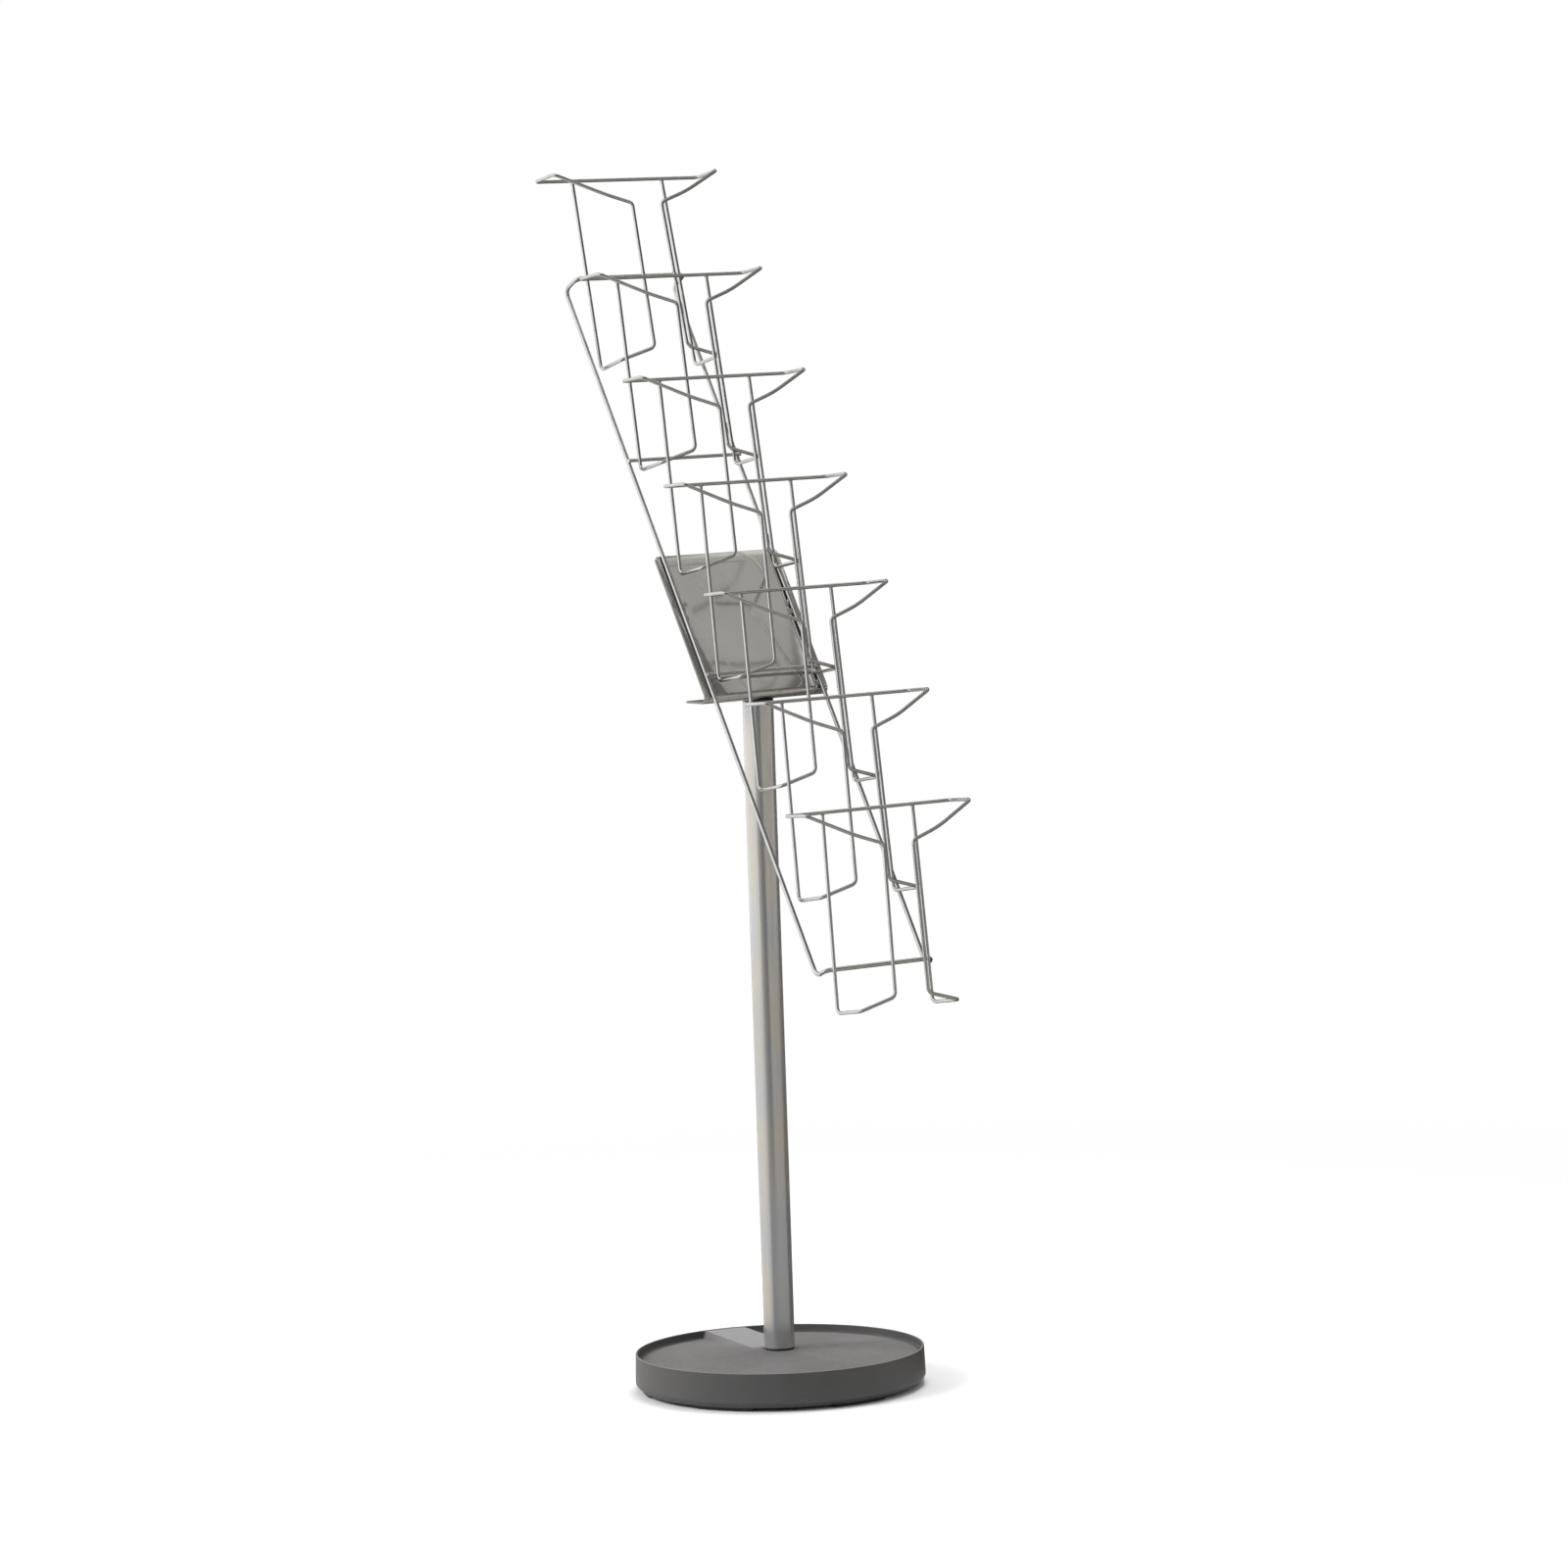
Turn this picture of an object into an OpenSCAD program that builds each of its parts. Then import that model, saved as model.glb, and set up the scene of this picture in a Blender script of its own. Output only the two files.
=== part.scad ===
// Periodical display rack: seven stepped wire pockets on a pole with a round weighted base.
// The origin is on the floor under the pole's axis. The rack faces -Y, and +Z is up.

/* [Pockets] */
// Diameter of the pocket wire
pocket_wire_d = 4; // [3:0.5:5]
// Length of the straight top wire, between the centre lines of its end bends
pocket_w = 230; // [220:5:260]
// Gap between the two back wires at the top, centre to centre
back_top_w = 126; // [118:2:132]
// Gap between the two back wires at the bottom corners
back_low_w = 133; // [126:1:138]
// Height of a pocket along its back
pocket_h = 222.5; // [200:2.5:250]
// Width between the two floor wires at their front end
floor_w = 138; // [134:2:150]
// How far the floor wires reach forward
floor_depth = 45.5; // [40:0.5:48]
// Rise of the floor wires over that reach
floor_rise = 1.5; // [0.5:0.5:4]
// Depth of the pocket from the back wires to the front wires
front_depth = 50.5; // [49:0.5:58]
// Height of the front corners over the bottom of the pocket
front_rise = 13.5; // [11:0.5:18]
// Gap between the two front wires at the bottom
front_low_w = 46; // [40:1:56]
// Gap between the two front wires at the top
front_top_w = 41; // [36:1:50]
// How far the front wires stop below the straight top wire
front_drop = 39.5; // [34:0.5:46]
// How far the side loops reach forward of the straight top wire
wing_depth = 39.5; // [32:0.5:44]
// How far the side loops dip at their front end
wing_drop = 1; // [0:0.5:3]
// Gap between the two arms at their shallow bend
arm_bend_w = 118; // [100:2:130]
// Distance of the arms' bend in front of the back wires
arm_bend_depth = 49.5; // [46:0.5:52]
// Drop of the arms' bend below the straight top wire
arm_bend_drop = 27; // [24:0.5:30]
// Step from one pocket down to the next, along its front wires
pocket_step = 127.5; // [120:0.5:150]

/* [Frame] */
// Diameter of the frame wire
frame_wire_d = 5; // [4:0.5:6]
// Diameter of the two crossbars
bar_wire_d = 4; // [3:0.5:5]
// Gap between the two rails, centre to centre
rail_w = 153; // [148:1:160]
// Lean of the rails from the vertical, in degrees
rail_lean = 30; // [28:0.5:32]
// How far the frame's top bar lies below the first pocket's straight wire
top_bar_drop = 113.5; // [90:0.5:130]
// How far the frame's bottom bar lies above the last pocket's bottom corners
bottom_bar_rise = 48.5; // [30:0.5:70]
// Height of the lower crossbar along the rails, above the foot plate
lower_bar_up = 35.5; // [30:0.5:60]
// How far the fourth pocket's bottom corners hang below the lower crossbar
corner_below_bar = 8.5; // [8.5:0.5:14]
// Where the rails' centre line passes in front of the pole's axis, at the foot plate's underside
rail_foot_reach = 26.5; // [25:0.5:32]

/* [Bracket] */
// Thickness of the bracket's sheet
sheet_t = 2.5; // [2:0.5:3]
// Width of the bracket
bracket_w = 172; // [164:2:190]
// Where the panel's top edge lies along the rails, above the foot plate
panel_top_up = 191; // [150:1:230]
// Radius of the panel's top corners
panel_corner_r = 5; // [3:1:12]
// Inside radius of the bend
bracket_bend_r = 5; // [3:0.5:6]
// How far the foot plate reaches behind the pole's axis
foot_plate_back = 20; // [19:1:40]

/* [Pole] */
// Outside diameter of the pole
pole_d = 35; // [32:0.5:36]
// Wall of the pole
pole_wall = 1.5; // [1.2:0.1:2.5]
// Length of the pole
pole_len = 740.5; // [650:0.5:900]
// Thickness of the flange on each end plug
plug_flange_t = 2.3; // [1.5:0.1:4]
// Length of each end plug inside the pole
plug_len = 32; // [24:1:50]
// Diameter of the screw that holds the head
head_screw_d = 8; // [6:0.5:8]
// Diameter of the bolt that holds the base
base_bolt_d = 10; // [8:0.5:10]

/* [Base] */
// Diameter of the base across its rim
rim_d = 330; // [300:2:380]
// How much the side wall flares out to the bottom, on the radius
wall_flare = 1; // [0:0.5:5]
// Height of the rim above the floor
base_h = 44; // [36:1:50]
// Wall of the base shell
shell_t = 3; // [2.5:0.25:4]
// Depth of the recess just inside the rim
dish_depth = 9; // [6:0.5:11]
// Radius of the flat hub around the pole
hub_r = 30; // [26:1:45]
// How far the hub lies below the rim
hub_drop = 0.5; // [0.5:0.25:3]
// Width of the raised arm at its top
arm_w = 50; // [30:1:60]
// Draft of the arm's side faces, on each side
arm_draft = 4; // [1:0.5:8]
// Direction of the arm, in degrees from +X
arm_az = 77; // [0:1:360]
// Gap between the cast weight and the screw bosses around it
weight_gap = 8; // [2:1:40]
// Thickness of the cast weight
weight_t = 10; // [4:1:12]
// Height of the foot pads
pad_h = 4; // [3:0.5:6]
// Number of foot pads
pad_count = 6; // [3:1:8]
// Angle that each foot pad spans, in degrees
pad_span = 26; // [12:1:30]

/* [Hidden] */
$fn = 48;

// Lean of each pocket's back from the vertical, from the top pocket down, in degrees
pocket_lean = [13, 10.3, 8.6, 7, 7, 6.5, 5.5];
// Number of pockets above the one that hangs on the lower crossbar, and above the one on the upper crossbar
over_lower_bar_count = 3;
over_upper_bar_count = 1;

// Clearances
weld_gap = 0.1;
swivel_gap = 0.2;
pivot_gap = 0.08;
screw_gap = 0.2;
thread_gap = 0.1;
plug_gap = 0.15;
cover_gap = 0.4;
overrun = 1;

// Bends of the wires, to the centre line
pocket_bend_r = 6;
wing_bend_r = 7;
front_bend_r = 8;
arm_bend_r = 150;
frame_bend_r = 9;
// How far a butt-welded wire end stops short of the other wire's axis
butt_stop = 0.6;
// A bend is this much thicker than the wire, and the wire runs this far into it, so that they join cleanly
bend_swell = 0.04;
bend_lap = 0.1;

// Screws, bolts, inserts and washers
insert_wall = 2;
head_screw_len = 30;
head_hex_af = 13;
head_hex_h = 5.3;
head_washer_d = 20;
head_washer_t = 1.6;
base_hex_af = 17;
base_hex_h = 6.4;
base_washer_d = 34;
base_washer_t = 2.5;
base_bolt_grip = 24;

// Weld beads on the bracket, and how far up the panel they lie
bead_r = 1.2;
bead_len = 9;
bead_up_shares = [0.09, 0.57, 0.63];

// Base details
edge_r = 6;
rim_t = 2.4;
hub_lip_w = 1.6;
hub_lip_h = 0.6;
hub_lip_gap = 1.8;
column_r = 16;
cover_t = 2.5;
cover_hole_d = 60;
pad_depth = 34;
pad_inset = 1;
pad_chamfer = 2;
pad_end_chamfer = 2.6;
boss_r = 4.5;
boss_inset = 12;
cover_screw_d = 3.5;
cover_screw_len = 14;
cover_screw_head_d = 7;
cover_screw_head_h = 1.6;
cover_screw_count = 6;
// Turn of the first foot pad and of the first cover screw, in degrees
pad_turn = 29;
cover_screw_turn = 59;

// Levels
cover_z = pad_h;
hub_z = base_h - hub_drop;
pole_z = hub_z + plug_flange_t + weld_gap;
pole_top_z = pole_z + pole_len;
plate_z = pole_top_z + plug_flange_t + swivel_gap;
weight_z = cover_z + base_washer_t + base_hex_h - weld_gap;
rim_r = rim_d / 2;
foot_r = rim_r + wall_flare;
dish_r = rim_r - rim_t - wall_flare;
boss_ring_r = foot_r - boss_inset;
weight_d = 2 * (boss_ring_r - boss_r - weight_gap);
cover_r = foot_r - shell_t - edge_r / 2 - cover_gap;

// The rails' own plane: [y, z] points, slope up along the rails and facing out of their front
rail_foot = [-rail_foot_reach, plate_z];
slope = [sin(rail_lean), cos(rail_lean)];
facing = [-cos(rail_lean), sin(rail_lean)];
function rail_point(up, out) = rail_foot + slope * up + facing * out;

// A pocket's own directions, and the place of its straight top wire, as [y, z]
function forward(k) = [-cos(pocket_lean[k]), sin(pocket_lean[k])];
function upward(k) = [sin(pocket_lean[k]), cos(pocket_lean[k])];
bar_out = (frame_wire_d + bar_wire_d) / 2 + weld_gap;
bar_touch = (bar_wire_d + pocket_wire_d) / 2 + weld_gap;
frame_touch = (frame_wire_d + pocket_wire_d) / 2 + weld_gap;
nest_depth = front_depth + pocket_wire_d + weld_gap;
bar_seat = rail_point(lower_bar_up, bar_out) + forward(over_lower_bar_count) * bar_touch
    + upward(over_lower_bar_count) * (pocket_h - corner_below_bar);
function seat(k) =
    k == over_lower_bar_count ? bar_seat :
    k < over_lower_bar_count ? seat(k + 1) - forward(k) * nest_depth + upward(k) * pocket_step :
    seat(k - 1) + forward(k - 1) * nest_depth - upward(k - 1) * pocket_step;

// How far up the rails a bar touches the back wires of pocket k
function touch_up(k, out, touch) =
    (-touch - (rail_point(0, out) - seat(k)) * forward(k)) / (slope * forward(k));
upper_bar_up = touch_up(over_upper_bar_count, bar_out, bar_touch);

// The frame's end bars lie against the back wires of the first and the last pocket
last_pocket = len(pocket_lean) - 1;
function behind_pocket(k, drop) = seat(k) - forward(k) * frame_touch - upward(k) * drop - rail_foot;
top_bar = behind_pocket(0, top_bar_drop);
bottom_bar = behind_pocket(last_pocket, pocket_h - bottom_bar_rise);
top_up = top_bar * slope;
top_out = top_bar * facing;
bottom_up = bottom_bar * slope;
bottom_out = bottom_bar * facing;

function unit(v) = v / norm(v);
function at(x, yz) = [x, yz[0], yz[1]];
function half_turn(p, i) = let (n = len(p))
    acos(unit(p[(i + n - 1) % n] - p[i]) * unit(p[(i + 1) % n] - p[i])) / 2;
function bend_reach(p, r, i) = r[i] / tan(half_turn(p, i));

// A straight round rod from a to b
module rod(a, b, d) {
    v = b - a;
    translate(a)
        rotate([0, acos(v[2] / norm(v)), atan2(v[1], v[0])])
            cylinder(h = norm(v), d = d);
}

// The round bend at point i of a wire
module wire_bend(p, r, i, d) {
    n = len(p);
    before = unit(p[(i + n - 1) % n] - p[i]);
    after = unit(p[(i + 1) % n] - p[i]);
    reach = bend_reach(p, r, i);
    centre = p[i] + unit(before + after) * r[i] / sin(half_turn(p, i));
    x = unit(p[i] + before * reach - centre);
    z = unit(cross(x, p[i] + after * reach - centre));
    y = cross(z, x);
    multmatrix([
        [x[0], y[0], z[0], centre[0]],
        [x[1], y[1], z[1], centre[1]],
        [x[2], y[2], z[2], centre[2]],
        [0, 0, 0, 1]
    ])
        rotate_extrude(angle = 180 - 2 * half_turn(p, i))
            translate([r[i], 0])
                circle(d = d + bend_swell);
}

// A wire through the points p, with a bend of radius r[i] at each inner point
module bent_wire(p, r, d, closed = false) {
    n = len(p);
    last = closed ? n - 1 : n - 2;
    for (i = [0 : last]) {
        j = (i + 1) % n;
        way = unit(p[j] - p[i]);
        start = !closed && i == 0 ? 0 : bend_reach(p, r, i) - bend_lap;
        stop = !closed && j == n - 1 ? 0 : bend_reach(p, r, j) - bend_lap;
        rod(p[i] + way * start, p[j] - way * stop, d);
        if (closed || i > 0) wire_bend(p, r, i, d);
    }
}

// A hexagon across its flats, and a flat ring
module hex(af, h) {
    cylinder(h = h, d = af / cos(30), $fn = 6);
}

module ring(d, bore, h) {
    difference() {
        cylinder(h = h, d = d);
        translate([0, 0, -overrun]) cylinder(h = h + 2 * overrun, d = bore);
    }
}

// Base

function arc(c, r, from, to, steps) =
    [for (i = [0 : steps]) let (a = from + (to - from) * i / steps) c + r * [cos(a), sin(a)]];

module shell_section() {
    inner_low = foot_r - shell_t;
    inner_top = rim_r - rim_t;
    under = base_h - dish_depth - shell_t;
    bore_r = base_bolt_d / 2 + screw_gap;
    lip_r = pole_d / 2 + hub_lip_gap;
    polygon(concat(
        [[hub_r, hub_z], [dish_r, base_h - dish_depth]],
        [[inner_top, base_h]],
        arc([rim_r - rim_t / 4, base_h - rim_t / 4], rim_t / 4, 90, 0, 4),
        arc([foot_r - edge_r, cover_z + edge_r], edge_r, 0, -60, 6),
        [[inner_low - edge_r / 2, cover_z], [inner_low - edge_r / 2, cover_z + cover_t + cover_gap]],
        [[inner_low, cover_z + edge_r], [inner_top - shell_t / 2, under - shell_t / 2]],
        [[dish_r - shell_t, under], [column_r, hub_z - shell_t]],
        [[column_r, weight_z + weight_t], [bore_r, weight_z + weight_t]],
        [[bore_r, hub_z], [lip_r, hub_z], [lip_r, hub_z + hub_lip_h]],
        [[lip_r + hub_lip_w, hub_z + hub_lip_h], [lip_r + 2 * hub_lip_w, hub_z]]
    ));
}

module at_bosses() {
    for (i = [0 : cover_screw_count - 1])
        rotate(cover_screw_turn + i * 360 / cover_screw_count)
            translate([boss_ring_r, 0, 0])
                children();
}

module base_shell() {
    boss_z = cover_z + cover_t;
    color("#5b5958") difference() {
        union() {
            rotate_extrude($fn = 96) shell_section();
            raised_arm();
            at_bosses() translate([0, 0, boss_z])
                cylinder(h = base_h - dish_depth - boss_z - shell_t / 2, r = boss_r);
        }
        translate([0, 0, -overrun]) cylinder(h = base_h + 2 * overrun, r = base_bolt_d / 2 + screw_gap);
        at_bosses() translate([0, 0, boss_z - overrun])
            cylinder(h = cover_screw_len + overrun, d = cover_screw_d + 2 * thread_gap);
    }
}

// The flat bar from the hub to the rim, with sloped sides
module raised_arm() {
    low_z = base_h - dish_depth - shell_t / 2;
    arm_h = base_h - low_z;
    inner = pole_d / 2 + hub_lip_gap + 2 * hub_lip_w;
    intersection() {
        rotate([0, 0, arm_az])
            translate([inner, 0, low_z])
                rotate([90, 0, 90])
                    linear_extrude(height = rim_r)
                        polygon([
                            [-arm_w / 2, arm_h - hub_drop], [arm_w / 2, arm_h - hub_drop],
                            [arm_w / 2 + arm_draft, 0], [-arm_w / 2 - arm_draft, 0]
                        ]);
        cylinder(h = base_h, r = rim_r - rim_t / 2);
    }
}

module base_cover() {
    color("#3b3a3a") difference() {
        translate([0, 0, cover_z]) cylinder(h = cover_t, r = cover_r);
        translate([0, 0, cover_z - overrun]) cylinder(h = cover_t + 2 * overrun, d = cover_hole_d);
        at_bosses() translate([0, 0, cover_z - overrun])
            cylinder(h = cover_t + 2 * overrun, d = cover_screw_d + 2 * screw_gap);
    }
}

module base_weight() {
    color("#4a4a4c") translate([0, 0, weight_z]) ring(weight_d, base_bolt_d + 2 * screw_gap, weight_t);
}

// Pads under the edge, with bevelled lower edges
module foot_pads() {
    outer = cover_r - pad_inset;
    inner = outer - pad_depth;
    color("#2b2b2c") for (i = [0 : pad_count - 1])
        rotate(pad_turn + i * 360 / pad_count)
            intersection() {
                rotate_extrude($fn = 96)
                    polygon([
                        [inner, pad_h], [outer, pad_h], [outer, pad_chamfer],
                        [outer - pad_chamfer, 0], [inner + pad_chamfer, 0], [inner, pad_chamfer]
                    ]);
                pad_block(outer, outer * sin(pad_span / 2));
            }
}

// A bar along +X that bounds a pad's two ends
module pad_block(reach, half_w) {
    rotate([90, 0, 90])
        linear_extrude(height = reach + overrun)
            polygon([
                [-half_w, pad_h + overrun], [half_w, pad_h + overrun],
                [half_w, pad_end_chamfer], [half_w - pad_end_chamfer - overrun, -overrun],
                [-half_w + pad_end_chamfer + overrun, -overrun], [-half_w, pad_end_chamfer]
            ]);
}

module cover_screws() {
    color("#9a9a98") at_bosses() {
        translate([0, 0, cover_z - cover_screw_head_h])
            cylinder(h = cover_screw_head_h, d = cover_screw_head_d);
        translate([0, 0, cover_z - cover_screw_head_h / 2])
            cylinder(h = cover_screw_len, d = cover_screw_d);
    }
}

module base_bolt() {
    head_z = weight_z - base_washer_t - base_hex_h;
    color("#a5a5a3") union() {
        translate([0, 0, head_z]) hex(base_hex_af, base_hex_h);
        translate([0, 0, head_z + base_hex_h / 2])
            cylinder(h = pole_z + base_bolt_grip - head_z - base_hex_h / 2, d = base_bolt_d);
    }
}

module base_washer() {
    color("#a5a5a3") translate([0, 0, weight_z - base_washer_t])
        ring(base_washer_d, base_bolt_d + 2 * screw_gap, base_washer_t);
}

// Pole

module pole_tube() {
    color("#c9c7c2") translate([0, 0, pole_z]) ring(pole_d, pole_d - 2 * pole_wall, pole_len);
}

// A plug: its flange lies on the tube's end, its body fills the tube and holds the insert
module end_plug(flange_d, insert_d) {
    body_d = pole_d - 2 * pole_wall - 2 * plug_gap;
    difference() {
        union() {
            cylinder(h = plug_flange_t, d = flange_d);
            translate([0, 0, plug_flange_t / 2]) cylinder(h = plug_flange_t / 2 + plug_len, d = body_d);
        }
        translate([0, 0, -overrun])
            cylinder(h = plug_flange_t + plug_len + 2 * overrun, d = insert_d + 2 * thread_gap);
    }
}

module pole_foot_plug() {
    color("#1d1d1e") translate([0, 0, hub_z + weld_gap / 2])
        end_plug(pole_d - pole_wall, base_bolt_d + 2 * insert_wall);
}

module foot_insert() {
    color("#b08d4a") translate([0, 0, hub_z + plug_flange_t])
        ring(base_bolt_d + 2 * insert_wall, base_bolt_d + 2 * thread_gap, plug_len - plug_flange_t);
}

module pole_top_plug() {
    color("#1d1d1e") translate([0, 0, pole_top_z + plug_flange_t + weld_gap / 2]) mirror([0, 0, 1])
        end_plug(pole_d, head_screw_d + 2 * insert_wall);
}

module head_insert() {
    color("#b08d4a") translate([0, 0, pole_top_z - plug_len + plug_flange_t])
        ring(head_screw_d + 2 * insert_wall, head_screw_d + 2 * thread_gap, plug_len - plug_flange_t);
}

// Head: the bracket turns about the head screw

head_seat_z = plate_z + sheet_t + swivel_gap;

module head_washer() {
    color("#b5b4b0") translate([0, 0, head_seat_z])
        ring(head_washer_d, head_screw_d + 2 * screw_gap, head_washer_t);
}

module head_screw() {
    head_z = head_seat_z + head_washer_t + weld_gap;
    color("#b5b4b0") union() {
        translate([0, 0, head_z]) hex(head_hex_af, head_hex_h);
        translate([0, 0, head_z + head_hex_h / 2 - head_screw_len])
            cylinder(h = head_screw_len, d = head_screw_d);
    }
}

// The bend's centre, set so that the panel's front face lies on the back of the rails
bend_outer_r = bracket_bend_r + sheet_t;
panel_back = frame_wire_d / 2 + weld_gap;
bend_z = plate_z + bend_outer_r;
bend_y = rail_foot[0] - (panel_back + bend_outer_r * (1 + facing[1])) / facing[0];
bend_foot = [bend_y, bend_z] + facing * bend_outer_r;
panel_len = (rail_point(panel_top_up, -panel_back) - bend_foot) * slope;

module bracket() {
    color("#9c9a95") difference() {
        union() {
            translate([-bracket_w / 2, bend_y - bend_lap, plate_z])
                cube([bracket_w, foot_plate_back - bend_y + bend_lap, sheet_t]);
            bracket_bend();
            bracket_panel();
        }
        translate([0, 0, plate_z - overrun])
            cylinder(h = sheet_t + 2 * overrun, d = head_screw_d + 2 * pivot_gap);
    }
}

// A curved strip, from the foot plate round to the panel
module bracket_bend() {
    strip = [sheet_t - bend_swell, bracket_w - bend_swell];
    translate([0, bend_y, bend_z])
        rotate([0, -90, 0])
            rotate([0, 0, 180])
                rotate_extrude(angle = 90 + rail_lean)
                    translate([(bracket_bend_r + bend_outer_r - strip[0]) / 2, -strip[1] / 2])
                        square(strip);
}

module bracket_panel() {
    corner = [bracket_w / 2 - panel_corner_r, panel_len - panel_corner_r];
    translate(at(0, bend_foot))
        rotate([90 - rail_lean, 0, 0])
            translate([0, 0, -sheet_t])
                linear_extrude(height = sheet_t)
                    polygon(concat(
                        [[-bracket_w / 2, -bend_lap], [bracket_w / 2, -bend_lap]],
                        arc(corner, panel_corner_r, 0, 90, 6),
                        arc([-corner[0], corner[1]], panel_corner_r, 90, 180, 6)
                    ));
}

// Weld beads in the groove between each rail and the panel, on the rail's inner side
module frame_welds() {
    side_step = sqrt(pow(frame_wire_d / 2 + bead_r + weld_gap, 2) - pow(panel_back - bead_r - weld_gap, 2));
    color("#8f8d89") for (side = [-1, 1], share = bead_up_shares) {
        up = panel_top_up * share;
        translate(at(side * (rail_w / 2 - side_step), rail_point(up, bead_r + weld_gap - panel_back)))
            rotate([-rail_lean, 0, 0])
                rotate_extrude()
                    polygon([
                        [0, -bead_len / 2], [bead_r / 2, -bead_len / 2], [bead_r, bead_r - bead_len / 2],
                        [bead_r, bead_len / 2 - bead_r], [bead_r / 2, bead_len / 2], [0, bead_len / 2]
                    ]);
    }
}

// The frame: two straight rails, both ends bent forward, and a bar across each end
module frame_loop() {
    half = rail_w / 2;
    points = [
        at(-half, rail_point(top_up, 0)), at(-half, rail_point(top_up, top_out)),
        at(half, rail_point(top_up, top_out)), at(half, rail_point(top_up, 0)),
        at(half, rail_point(bottom_up, 0)), at(half, rail_point(bottom_up, bottom_out)),
        at(-half, rail_point(bottom_up, bottom_out)), at(-half, rail_point(bottom_up, 0))
    ];
    color("#bdbbb6") bent_wire(points, [for (p = points) frame_bend_r], frame_wire_d, closed = true);
}

module crossbar(up) {
    half = (rail_w + frame_wire_d) / 2;
    color("#bdbbb6") rod(at(-half, rail_point(up, bar_out)), at(half, rail_point(up, bar_out)), bar_wire_d);
}

// One pocket: a single wire from one back wire's top, round the floor, front, arms and top, to the other
module pocket(k) {
    half = [
        [back_top_w / 2, 0, -butt_stop],
        [back_low_w / 2, 0, -pocket_h],
        [floor_w / 2, floor_depth, floor_rise - pocket_h],
        [front_low_w / 2, front_depth, front_rise - pocket_h],
        [front_top_w / 2, front_depth, -front_drop],
        [arm_bend_w / 2, arm_bend_depth, -arm_bend_drop],
        [pocket_w / 2, wing_depth, -wing_drop],
        [pocket_w / 2, 0, 0]
    ];
    half_r = [
        0, pocket_bend_r, pocket_bend_r, front_bend_r,
        pocket_bend_r, arm_bend_r, wing_bend_r, wing_bend_r
    ];
    n = len(half);
    function place(p, side) = at(side * p[0], seat(k) + forward(k) * p[1] + upward(k) * p[2]);
    points = concat([for (p = half) place(p, -1)], [for (i = [n - 1 : -1 : 0]) place(half[i], 1)]);
    radii = concat(half_r, [for (i = [n - 1 : -1 : 0]) half_r[i]]);
    color("#c4c2bd") bent_wire(points, radii, pocket_wire_d);
}

base_shell();
base_cover();
base_weight();
foot_pads();
cover_screws();
base_bolt();
base_washer();
pole_foot_plug();
foot_insert();
pole_tube();
pole_top_plug();
head_insert();
head_screw();
head_washer();
bracket();
frame_loop();
frame_welds();
crossbar(upper_bar_up);  // upper_crossbar
crossbar(lower_bar_up);  // lower_crossbar
pocket(0);  // pocket_1
pocket(1);  // pocket_2
pocket(2);  // pocket_3
pocket(3);  // pocket_4
pocket(4);  // pocket_5
pocket(5);  // pocket_6
pocket(6);  // pocket_7
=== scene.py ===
"""A free-standing rack with stepped wire pockets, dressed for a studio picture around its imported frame."""
from math import acos, atan2, cos, hypot, pi, radians, sin, tan

import bmesh
import bpy
from mathutils import Matrix, Vector, noise


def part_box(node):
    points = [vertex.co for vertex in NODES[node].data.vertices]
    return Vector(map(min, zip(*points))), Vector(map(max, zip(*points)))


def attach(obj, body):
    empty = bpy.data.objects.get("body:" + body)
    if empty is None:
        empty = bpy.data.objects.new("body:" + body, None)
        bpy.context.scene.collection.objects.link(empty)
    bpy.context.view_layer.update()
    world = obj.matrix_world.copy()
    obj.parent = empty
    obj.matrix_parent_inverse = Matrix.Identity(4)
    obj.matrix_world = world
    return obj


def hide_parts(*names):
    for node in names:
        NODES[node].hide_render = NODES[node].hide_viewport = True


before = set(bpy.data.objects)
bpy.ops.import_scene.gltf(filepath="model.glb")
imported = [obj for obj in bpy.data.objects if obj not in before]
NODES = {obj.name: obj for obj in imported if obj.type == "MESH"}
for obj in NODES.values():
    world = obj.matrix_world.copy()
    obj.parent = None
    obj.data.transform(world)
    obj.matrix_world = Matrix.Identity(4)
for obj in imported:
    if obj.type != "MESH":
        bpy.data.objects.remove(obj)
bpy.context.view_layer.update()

bl_info = {
    "name": "Periodical display rack",
    "version": (1, 0, 0),
    "blender": (4, 5, 0),
    "location": "View3D > Sidebar > Rack",
    "description": "Dresses the rack's pieces and sets up its studio",
    "category": "Object",
}

MM = 0.001
STAND = "stand"
HEAD = "rack_head"
POCKET_COUNT = sum(name.startswith("pocket_") for name in NODES)
# Lean of each pocket from the top down, and the pockets that hang on the crossbars, counted from 0
LEANS = [radians(lean) for lean in (13, 10.3, 8.6, 7, 7, 6.5, 5.5)]
UPPER_BAR_POCKET = 1
LOWER_BAR_POCKET = 3
SHEET_EDGE_R = 0.35 * MM
SHARP_ANGLE = radians(35)
WELDED_POINTS = 1e-7


def node_low(name):
    """The lowest corner of a CAD node"""
    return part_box(name)[0]


def node_high(name):
    """The highest corner of a CAD node"""
    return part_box(name)[1]


# Shader maths and materials

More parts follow.
